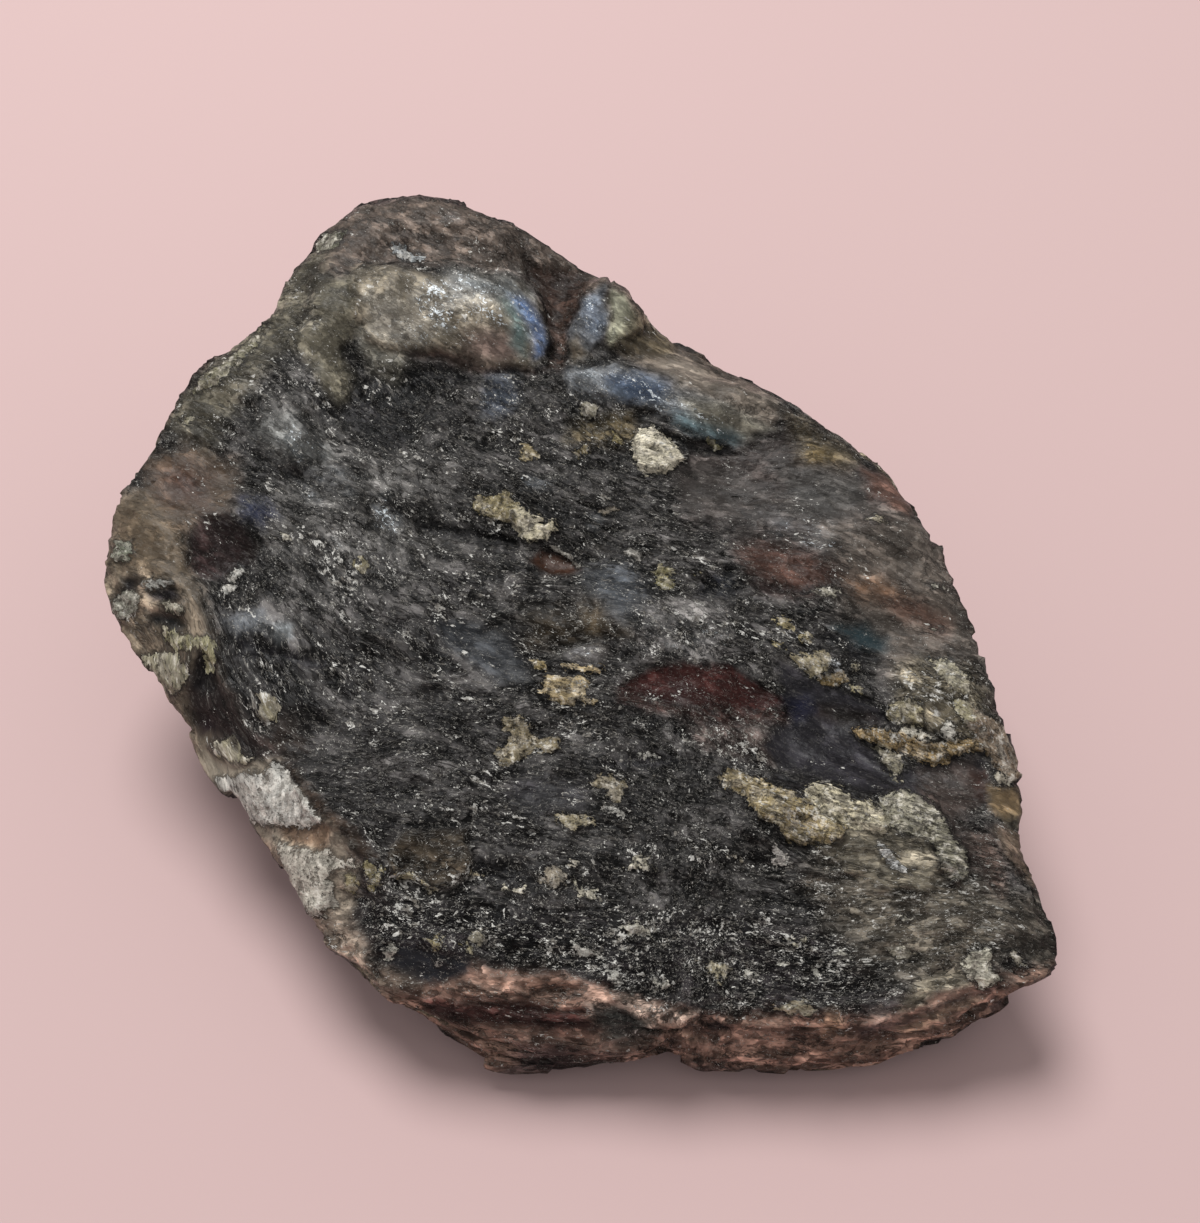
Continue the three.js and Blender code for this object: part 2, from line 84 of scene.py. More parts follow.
PATCHES = [
    # broad zones
    ("4a4846", 5.0, 0.0, 0.1, 0.6, [(-36, 22), (-28, 22), (-12, 12), (-12, 2), (-26, -3),
        (-34, 4)]),
    ("1b1819", 2.0, 0.0, 0.0, 0.9, [(-19, -36), (0, -37.5), (20, -37.5), (31, -41), (33, -46),
        (20, -47), (5, -45.5), (-6, -42), (-17, -43)]),
    ("665f54", 3.0, 0.0, 0.2, 0.8, [(27, -33), (40, -33), (46, -38), (42, -44), (33, -43),
        (28, -38)]),
    ("4a4340", 3.0, 0.0, 0.5, 0.25, [(14, 14), (26, 17), (34, 12), (40, 6), (38, 0), (26, 2),
        (14, 6)]),
    ("5a524b", 3.0, 0.0, 0.5, 0.3, [(28, 6), (41, 6), (44, -4), (46, -11), (36, -12), (31, -4)]),
    ("75695a", 1.6, 0.0, 0.4, 0.2, [(-51, 9), (-44, 9), (-41, 0), (-37.5, -8), (-36, -14),
        (-33, -20), (-35, -27), (-44, -15), (-52, -4)]),
    ("5a4f47", 2.0, 0.0, 0.35, 0.3, [(-31, 48), (-12, 50), (4, 42), (14, 33), (27, 22), (20, 20),
        (8, 27), (-3, 37), (-16, 39.5), (-30, 38)]),
    ("5b564a", 2.0, 0.0, 0.3, 0.4, [(-46, 18), (-40, 27), (-33, 42), (-28, 42), (-30, 31),
        (-36, 23), (-40, 14)]),
    ("83695c", 0.7, 0.0, 0.1, 0.4, [(-21, -41), (-17, -43.6), (-12.5, -44.6), (-7, -42.8),
        (1, -43.8), (8, -46.3), (16, -47.4), (24, -47.4), (32, -47.6), (40, -44.8), (50, -42),
        (53, -60), (-26, -60)]),
    # the bottom of the face
    ("26272c", 0.5, -0.2, 0.8, 0.2, [(-17.6, -41.6), (-15, -40.8), (-9, -42), (-8.6, -43.8),
        (-11, -44.6), (-15, -44.4)]),
    ("3a332a", 0.5, 0.7, 0.1, 0.5, [(-17, -31.5), (-15, -29.4), (-8.8, -29.2), (-8.6, -32),
        (-9.3, -33.6), (-11.6, -34.9), (-12.6, -34.5), (-15, -33.6), (-17, -33.6)]),
    ("1b1a1b", 0.7, -0.4, 0.2, 0.5, [(-8.4, -32), (-5, -32.4), (-1, -34.8), (-7, -34.6),
        (-9.5, -34.2)]),
    ("1d1c1e", 0.8, -0.3, 0.1, 0.5, [(7.6, -21.6), (13, -21), (13.5, -22.4), (8, -23), (2, -22.4)]),
    ("262427", 1.4, 0.0, 0.5, 0.3, [(-4, -24), (2, -24), (3, -26.6), (-2, -27.6), (-5, -26)]),
    ("554d42", 1.0, 0.4, 0.1, 0.8, [(24.4, -35.4), (26, -34.2), (27.8, -35.4), (27.2, -36.8),
        (25.2, -36)]),
    # the left edge
    ("9d9282", 0.8, 0.0, 0.65, 0.1, [(-37, -20), (-33, -22), (-29, -22.4), (-26.6, -24),
        (-23.4, -28.4), (-21.4, -31), (-20, -33), (-20.6, -37), (-21, -41), (-27, -38),
        (-36, -27)]),
    ("826d5a", 0.4, -0.2, 0.6, 0.1, [(-28.4, -29.2), (-27, -28.7), (-25, -28.4), (-23.4, -28.9),
        (-23.2, -30), (-23.5, -31), (-27, -31), (-28.2, -30.2)]),
    ("3c3129", 0.5, 0.5, 0.3, 0.2, [(-29, -22.4), (-26.4, -23.4), (-21.4, -28.6), (-18, -31.6),
        (-18.2, -32.6), (-20, -32), (-23, -29.4), (-25.4, -26.4), (-28, -23.4)]),
    ("332b29", 0.8, -0.5, 0.4, 0.2, [(-40, -12.4), (-38, -9.8), (-36.6, -12), (-34.8, -15),
        (-33, -18.6), (-30, -21.4), (-33, -21), (-36, -18.6), (-38, -18.4)]),
    ("241f20", 0.4, -0.7, 0.5, 0.1, [(-39, -11), (-38.2, -9.8), (-37, -12.6), (-36.6, -14.4),
        (-38.8, -14)]),
    ("2c2022", 0.6, -0.5, 0.7, 0.1, [(-37.6, -17), (-36.4, -17), (-35, -19.4), (-37.6, -19.2)]),
    ("2a2527", 0.5, -0.6, 0.4, 0.1, [(-45, -2.8), (-42.2, -2.8), (-41, -4.2), (-42, -4.6),
        (-44, -4.2)]),
    ("2d2a2b", 0.7, -0.5, 0.4, 0.1, [(-47.4, -1.4), (-46, -1.6), (-46, -3), (-47.4, -3.2)]),
    ("303031", 0.7, -0.5, 0.4, 0.1, [(-44, -5.6), (-42, -6), (-40.6, -7.4), (-42.2, -7.6),
        (-44, -6.8)]),
    ("947c6b", 0.9, 0.0, 0.3, 0.2, [(-29.4, -31), (-26.8, -35.6), (-23, -40), (-20, -42.6),
        (-28, -37), (-34, -28)]),
    ("8d7e70", 1.2, 0.2, 0.2, 0.7, [(-27, -37), (-23, -36), (-20.4, -38), (-18, -42.4), (-13, -45),
        (-19, -46), (-24, -42)]),
    ("5f5042", 2.2, 0.0, 0.7, 0.15, [(-47, 13), (-42, 14.4), (-37, 12.4), (-36.4, 9), (-37.6, 7.2),
        (-41, 5.4), (-43.4, 2), (-46, 8)]),
    ("4b372e", 2.2, 0.0, 0.7, 0.15, [(-45.6, 11.6), (-42, 12.6), (-39.4, 10.6), (-39.6, 7.4),
        (-43.4, 7.4)]),
    ("665949", 1.2, 0.0, 0.65, 0.15, [(-50, 7.4), (-46.6, 9), (-43.8, 6), (-41.6, 1.4),
        (-40.6, -0.6), (-44, -0.8), (-49, 0)]),
    ("2b1f1e", 0.8, -0.25, 0.5, 0.15, [(-39.8, 6.4), (-37, 6.4), (-35, 4.6), (-33.4, 3),
        (-33.2, 1.4), (-36.4, -1.6), (-38.6, -1.4), (-40.6, 0), (-41, 3)]),
    ("262428", 0.8, -0.5, 0.4, 0.3, [(-34.4, -8.4), (-30, -10), (-25, -10.8), (-25, -11.6),
        (-30, -11.2), (-34.4, -10.6)]),
    ("3b332e", 1.4, 0.0, 0.3, 0.3, [(-30, -16.8), (-27.6, -17), (-26, -21), (-28, -22.2),
        (-31, -20.2)]),
    # the rear left
    ("1e1d1e", 1.2, -0.6, 0.1, 0.4, [(-24.6, 22), (-22, 24), (-17, 24.6), (-11, 25), (-10, 23.4),
        (-15, 21), (-16, 16), (-20, 13.6), (-23, 16), (-27, 18), (-31, 22.6), (-28, 22.6)]),
    ("5b584f", 1.2, 0.4, 0.4, 0.3, [(-24.4, 30), (-21, 29), (-17.6, 25.6), (-19, 22.6),
        (-22, 24.6)]),
    ("5e594c", 1.0, 0.5, 0.6, 0.3, [(-29.4, 37), (-25, 37.4), (-24, 33), (-24.6, 29.4), (-26, 27),
        (-24.2, 24), (-24.6, 20.6), (-26, 20), (-27.4, 22), (-29.4, 25.4), (-31.8, 28.6),
        (-29, 31)]),
    # painted sheen: lighter grey where this slope flashes
    ("60605d", 1.8, 0.3, 0.5, 0.3, [(-34, 18.6), (-31, 18.4), (-28, 16), (-26, 13.4), (-28, 12.4),
        (-31, 13.6), (-34.6, 16)]),
    ("262527", 1.4, -0.4, 0.1, 0.4, [(-36, 15), (-32, 12), (-27.6, 11.4), (-29, 10), (-33, 11)]),
    ("34384a", 1.2, 0.0, 0.5, 0.3, [(-35.6, 8), (-33.4, 8.2), (-31.6, 6.4), (-33, 4.8),
        (-35, 5.8)]),
    ("5f6266", 1.2, 0.2, 0.5, 0.5, [(-36, -6), (-33, -5.2), (-32.6, -6.4), (-34.6, -7.8)]),
    ("6c6f70", 0.7, 0.3, 0.5, 0.4, [(-30.8, -7), (-29, -6.8), (-28.6, -8.4), (-29.6, -9.2),
        (-30.8, -8.4)]),
    # the two pillows, the groove between them, the crest and the ridge; their blue, teal and blue-grey
    # patches are painted sheen, the stone's flash
    ("6f6759", 0.7, 0.7, 0.6, 0.5, [(-25, 38.6), (-20, 38.4), (-15, 38), (-9, 37.8), (-4.6, 36.6),
        (-3.4, 34), (-2.4, 32), (-1.8, 29), (-2.2, 26.2), (-3.4, 24.8), (-7, 24.6), (-11, 25.4),
        (-14, 26.8), (-17.4, 27.2), (-20, 26.6), (-23, 29), (-25, 32)]),
    ("7d776c", 1.6, 0.0, 0.6, 0.5, [(-23, 34.4), (-19, 33), (-15, 30.4), (-16, 27.8), (-20, 28),
        (-22.6, 30)]),
    ("6f5f57", 1.6, 0.0, 0.7, 0.2, [(-11.4, 29.6), (-5.4, 29.8), (-4.8, 26.6), (-7, 25.4),
        (-11, 26)]),
    # painted shadow under the first pillow, over a slight hollow
    ("4b3d37", 1.0, -0.4, 0.5, 0.1, [(-18, 26.6), (-14, 26), (-9, 24.2), (-3, 24), (-9, 25.2),
        (-14, 27.6)]),
    # painted sheen: a blue-grey haze on the first pillow, then a teal and a blue flash at its right end
    ("575b5c", 1.8, 0.0, 0.6, 0.5, [(-13.6, 38), (-6, 37), (-3.8, 34.6), (-5.4, 33.4), (-9, 35),
        (-13, 35.6)]),
    ("5f7472", 1.0, 0.0, 0.7, 0.2, [(-6.6, 34), (-5, 33), (-4.2, 30), (-4.6, 26.4), (-6, 28),
        (-5.6, 31)]),
    ("4a658f", 0.9, 0.0, 0.7, 0.1, [(-5.4, 34.4), (-3.9, 33.4), (-2.7, 31.2), (-2, 28.6),
        (-2.3, 26.6), (-3.2, 26), (-3.1, 28.4), (-3.7, 30.8), (-4.8, 32.8)]),
    ("43332c", 1.0, -0.6, 0.3, 0.2, [(-4.4, 39.4), (2.8, 38), (2.6, 33), (0.4, 28), (0.2, 24.6),
        (-1.6, 24.6), (-1.2, 29), (-2.8, 35)]),
    ("5b5d60", 0.5, 0.6, 0.6, 0.3, [(0.4, 28), (2.6, 34.6), (5, 36.4), (5.4, 32), (4.4, 29),
        (3.4, 26.4), (1.4, 25.8)]),
    # painted sheen: the blue flash at the second pillow's edge
    ("4d5868", 0.9, 0.0, 0.7, 0.2, [(2.8, 33.6), (4.4, 34.8), (4.6, 31.4), (3.8, 29), (2.8, 29.6)]),
    ("746a5c", 0.6, 0.2, 0.4, 0.2, [(0.4, 28.4), (1.8, 29), (3.6, 26.8), (1.4, 25.4)]),
    ("747363", 0.5, 0.7, 0.6, 0.2, [(5.6, 35.6), (7.4, 34.6), (8.9, 32.2), (8.6, 30), (7, 28.6),
        (5.4, 27.6), (4.8, 29.4), (5.6, 32)]),
    ("5c5242", 1.2, 0.2, 0.4, 0.2, [(8.6, 32.4), (13, 29), (13, 26), (8, 26.6), (6, 27.6)]),
    # the ridge: its silvery blue-grey band is painted sheen
    ("5a5c5e", 0.8, 0.5, 0.6, 0.5, [(0.4, 24.8), (6, 25.4), (13, 23.4), (20, 19.4), (23.6, 17),
        (21, 15.4), (15, 16.8), (9.6, 19.6), (6, 20.6), (1, 21.6)]),
    ("6f665c", 1.4, 0.1, 0.6, 0.1, [(9, 25.4), (13.6, 26.6), (24.6, 20), (24, 17.4), (18, 20.4),
        (12, 22.6)]),
    ("7a7568", 1.0, 0.0, 0.6, 0.2, [(14, 20.4), (18.6, 20), (24, 17), (21, 15.8), (16, 17.6)]),
    # painted sheen: blue and blue-grey flashes on the ridge and beside the first pillow
    ("4b5a70", 1.4, 0.0, 0.7, 0.4, [(5.6, 23.8), (9, 24.2), (12.4, 22.4), (11, 20.6), (8, 20.6),
        (6, 21.6)]),
    ("4f6266", 1.2, 0.0, 0.7, 0.2, [(13.6, 18.8), (17, 18), (20.6, 16), (20, 15.2), (16.4, 16.4),
        (13.4, 17.6)]),
    ("3a404c", 1.4, 0.0, 0.4, 0.6, [(-8.6, 24), (-5.8, 23.6), (-5, 20.4), (-7.4, 18.6), (-9, 20)]),
    # the middle
    ("4f4634", 1.2, 0.2, 0.1, 0.6, [(1.6, 18), (8.6, 19), (9, 15), (5, 14.4), (1, 15.6)]),
    # a dark crack, sunk a little, darkened as painted shadow beside the white flake
    ("201f20", 0.5, -0.7, 0.1, 0.3, [(11.6, 16.4), (13.4, 16), (16, 14.9), (19, 14.8), (20.2, 14),
        (18, 13.7), (15, 14), (12.6, 14.9)]),
    ("1f1e1f", 1.0, -0.6, 0.2, 0.3, [(-16, 5.4), (-9, 4.4), (-4.6, 2.6), (-5, 1.6), (-10, 2.6),
        (-15.6, 4)]),
    ("1f1f20", 0.9, -0.4, 0.2, 0.3, [(-4, 8.6), (0, 7), (3, 5.4), (1, 5), (-1.6, 6.4)]),
    ("45403d", 1.8, 0.1, 0.6, 0.2, [(13.4, 12.6), (20, 11.8), (24, 9), (25, 6), (19, 5),
        (14, 7.4)]),
    ("4b4845", 1.4, 0.1, 0.6, 0.2, [(24.6, 12), (30, 11.6), (34.4, 10.4), (34.6, 7.6), (30, 5.6),
        (25.6, 6.4)]),
    ("3e281d", 0.4, -0.4, 0.8, 0.1, [(-2.8, 0.2), (-1.6, 1.8), (0.4, 1.2), (2.2, 0.2), (2.9, -0.6),
        (1, -1.2), (-1.4, -1)]),
    ("3b3e42", 1.8, 0.5, 0.5, 0.4, [(3, -0.6), (7.4, 0.2), (9.8, -2), (9.8, -6), (7, -8.4),
        (4.4, -5)]),
    ("54514f", 2.0, 0.4, 0.1, 0.9, [(8.6, -5), (14, -4.6), (18.6, -6), (19, -9.6), (14, -11),
        (9.6, -11)]),
    ("42392c", 2.0, 0.0, 0.1, 0.7, [(-3, -5.6), (4, -4.6), (8, -8), (4, -9.2), (-3, -9)]),
    ("6b6765", 0.4, 0.5, 0.5, 0.6, [(0.8, -9.8), (2, -9.2), (4, -9.1), (5.2, -10), (4.8, -11.5),
        (2.6, -11.5), (1.4, -10.8)]),
    ("2a2c2f", 0.8, 0.3, 0.65, 0.25, [(-13.4, -6.6), (-9.5, -6.4), (-6, -8), (-3.8, -10.6),
        (-3.2, -13.2), (-6, -13.6), (-9, -11.6), (-12, -9)]),
    ("452f27", 1.8, -0.2, 0.6, 0.3, [(19.6, 2), (22, 3), (27, 1.6), (30.4, 0), (30.4, -2.4),
        (27, -3.2), (24, -2.6), (21.2, -1.4)]),
    ("2a1f1d", 0.6, -0.5, 0.4, 0.2, [(21, -1.6), (24, -2.4), (27, -3), (26, -3.8), (22, -3.4)]),
    ("1d1e22", 0.8, -0.6, 0.3, 0.4, [(16.4, -1.4), (18.6, -0.4), (20.2, -2.8), (18.6, -4),
        (15, -3.6)]),
    # the right
    ("5c4534", 1.4, 0.0, 0.6, 0.2, [(31, -1.4), (35, -1.8), (37.6, -3), (36, -4.4), (32, -3.6)]),
    ("5a443a", 1.4, 0.0, 0.6, 0.2, [(35, -4), (39, -3.8), (42.4, -6.4), (41.4, -8), (37, -6)]),
    ("5c5241", 1.6, 0.3, 0.4, 0.3, [(26, 18.6), (28, 17.4), (32, 14.8), (33.4, 12.8), (32, 12),
        (29, 12.4), (27.2, 13), (26.8, 15)]),
    ("6f5f40", 1.2, 0.0, 0.4, 0.2, [(28, 15), (30, 14.6), (31, 13), (28.6, 13)]),
    ("5e463d", 0.7, 0.3, 0.6, 0.2, [(33.8, 11.6), (36, 11.6), (39, 10), (40, 7), (39, 5.8), (37, 7),
        (35, 7.8), (34.4, 9.4)]),
    ("2d3d42", 1.0, -0.2, 0.7, 0.2, [(30.4, -7.2), (33, -6.4), (35.4, -8.4), (35.2, -9.8),
        (32, -9.2)]),
    ("19191b", 0.9, -0.6, 0.4, 0.3, [(28, -8), (30.4, -8), (33, -9.6), (35.6, -10.8), (34, -11.6),
        (30, -10)]),
    ("7d7462", 1.6, 0.3, 0.1, 0.5, [(37, -12), (39, -11), (44, -12), (46, -17), (44, -20),
        (39, -18.6), (37, -17)]),
    ("3a1d1a", 0.35, -0.3, 0.65, 0.3, [(6.5, -13.9), (8.2, -13), (10.3, -11.4), (12.8, -11.2),
        (16, -11.7), (18.5, -11.8), (20.4, -12.8), (22.6, -14.4), (23.8, -15.4), (22, -16.2),
        (17.5, -16.6), (12, -15.5), (8, -14.8)]),
    ("33231f", 0.8, -0.2, 0.2, 0.5, [(6, -14.2), (12, -15.6), (20, -16.4), (24, -16), (25, -17.4),
        (20, -18.6), (12, -17), (6, -15.6)]),
    ("4a403c", 1.0, 0.2, 0.1, 0.8, [(12.6, -17.6), (18, -18), (23, -19.6), (22, -22.4),
        (16, -20.8)]),
    ("2c2a2e", 0.5, -0.35, 0.6, 0.15, [(23.2, -11.6), (26.4, -12.3), (29, -14.2), (33.8, -15.6),
        (35.4, -17.6), (32, -18.2), (31.4, -19.8), (33, -21.5), (35, -23.8), (38, -22), (41, -22.3),
        (44.5, -21.6), (44.8, -25.4), (40, -26.6), (36.5, -25.4), (33, -25.6), (29.5, -24.6),
        (27, -23.4), (23, -22.4), (21.4, -20.4), (22.4, -19), (24.5, -17.5), (24, -14.6)]),
    ("222337", 0.9, 0.0, 0.6, 0.1, [(23.8, -15), (26.8, -15), (27.4, -17), (25, -17.6)]),
    ("211b19", 0.7, -0.2, 0.5, 0.1, [(27.6, -16), (33.8, -16.6), (34, -18), (31, -18.4),
        (27.4, -17.4)]),
    ("191718", 0.5, -0.3, 0.3, 0.1, [(22, -22.8), (26, -23.6), (30, -24.6), (34, -25.4),
        (29, -25.2), (22, -24.2)]),
    ("403733", 1.0, 0.1, 0.6, 0.3, [(37.4, -22.6), (43.6, -21.8), (44.6, -25.4), (41, -28),
        (44, -33), (41.6, -33.6), (39.8, -28), (37.4, -25.6)]),
    ("3b2923", 0.5, 0.0, 0.6, 0.1, [(43.2, -23), (44.8, -23), (44.4, -26.4), (43.2, -26)]),
    ("7d6a50", 0.5, 0.4, 0.6, 0.1, [(44.8, -24.4), (47.9, -24.8), (48.2, -27.6), (46, -28.4),
        (44.4, -27)]),
    ("4b483e", 0.6, 0.1, 0.5, 0.2, [(45.4, -28), (48.2, -27.6), (48.2, -30), (46.6, -29.8)]),
    ("6d5e50", 0.7, 0.2, 0.5, 0.2, [(45, -29), (47.2, -29.8), (48.6, -33), (50, -36), (48, -34.6),
        (45.6, -31.6)]),
    ("5a4c45", 1.0, 0.0, 0.2, 0.6, [(42, -29), (44.4, -29.6), (45.4, -33), (45, -36), (43, -34)]),
    ("6f685a", 0.8, 0.6, 0.3, 0.4, [(26, -29.6), (30, -28.8), (38, -29.2), (40, -33.6), (37, -36),
        (31, -34), (27, -31.6)]),
    ("454039", 1.4, 0.0, 0.3, 0.4, [(45, -36), (49, -36.6), (51, -40), (48.6, -43), (45, -41)]),
    ("8a8170", 0.8, 0.0, 0.1, 0.5, [(34, -46.6), (38, -45), (41, -44.2), (40, -43), (36, -44)]),
    # the front wall
    # painted shade: the lower part of the front wall, darker where it tucks under toward the floor
    ("453836", 1.6, 0.0, 0.1, 0.4, [(-4, -50), (1, -50), (4, -51), (12, -52), (30, -53), (20, -60),
        (-6, -60)]),
    ("8c6d5e", 0.5, 0.5, 0.3, 0.2, [(-7, -44.5), (-3, -43.8), (0, -43.5), (2.6, -44.4), (1, -45),
        (-4, -45)]),
    ("8d7264", 0.35, 0.3, 0.2, 0.3, [(-13, -44.9), (-8, -45.2), (0, -45.3), (6, -45.9), (0, -46),
        (-9, -45.8)]),
    ("4a302c", 0.6, -0.4, 0.4, 0.3, [(-13, -46), (-4, -46.2), (3, -47), (4, -49), (-4, -48.6),
        (-12, -48)]),
    ("4b4a46", 1.0, 0.0, 0.2, 0.4, [(3, -46.4), (7, -46.8), (10, -49.6), (5, -50.4)]),
    ("9c887b", 0.5, 0.5, 0.1, 0.6, [(6, -45.8), (8, -45.8), (9.8, -46.8), (14, -46.9),
        (13.6, -47.7), (11, -48.1), (8.6, -48.3), (7, -47.4)]),
    ("947c6c", 0.35, 0.3, 0.1, 0.3, [(11.6, -48.6), (12.6, -48.8), (13.6, -50), (12.6, -50)]),
    ("241d1d", 0.5, -0.4, 0.2, 0.3, [(14, -47.6), (18, -48.2), (17.6, -49), (14.6, -48.6)]),
    ("7d6654", 0.6, 0.4, 0.1, 0.3, [(25.8, -47.8), (27.4, -46.9), (28.2, -48.8), (26, -49.6)]),
    ("83695b", 0.5, 0.3, 0.2, 0.3, [(24, -50.2), (29, -49.8), (33, -50), (31, -51), (25, -51.2)]),
    ("85705f", 0.6, 0.2, 0.2, 0.3, [(33, -48.2), (38, -46.6), (42, -45.6), (41, -46.6), (35, -49)]),
    ("33292a", 0.7, -0.3, 0.3, 0.2, [(29, -48.4), (34, -47.6), (42, -45), (45, -44.4), (36, -47.4),
        (30, -49.4)]),
]

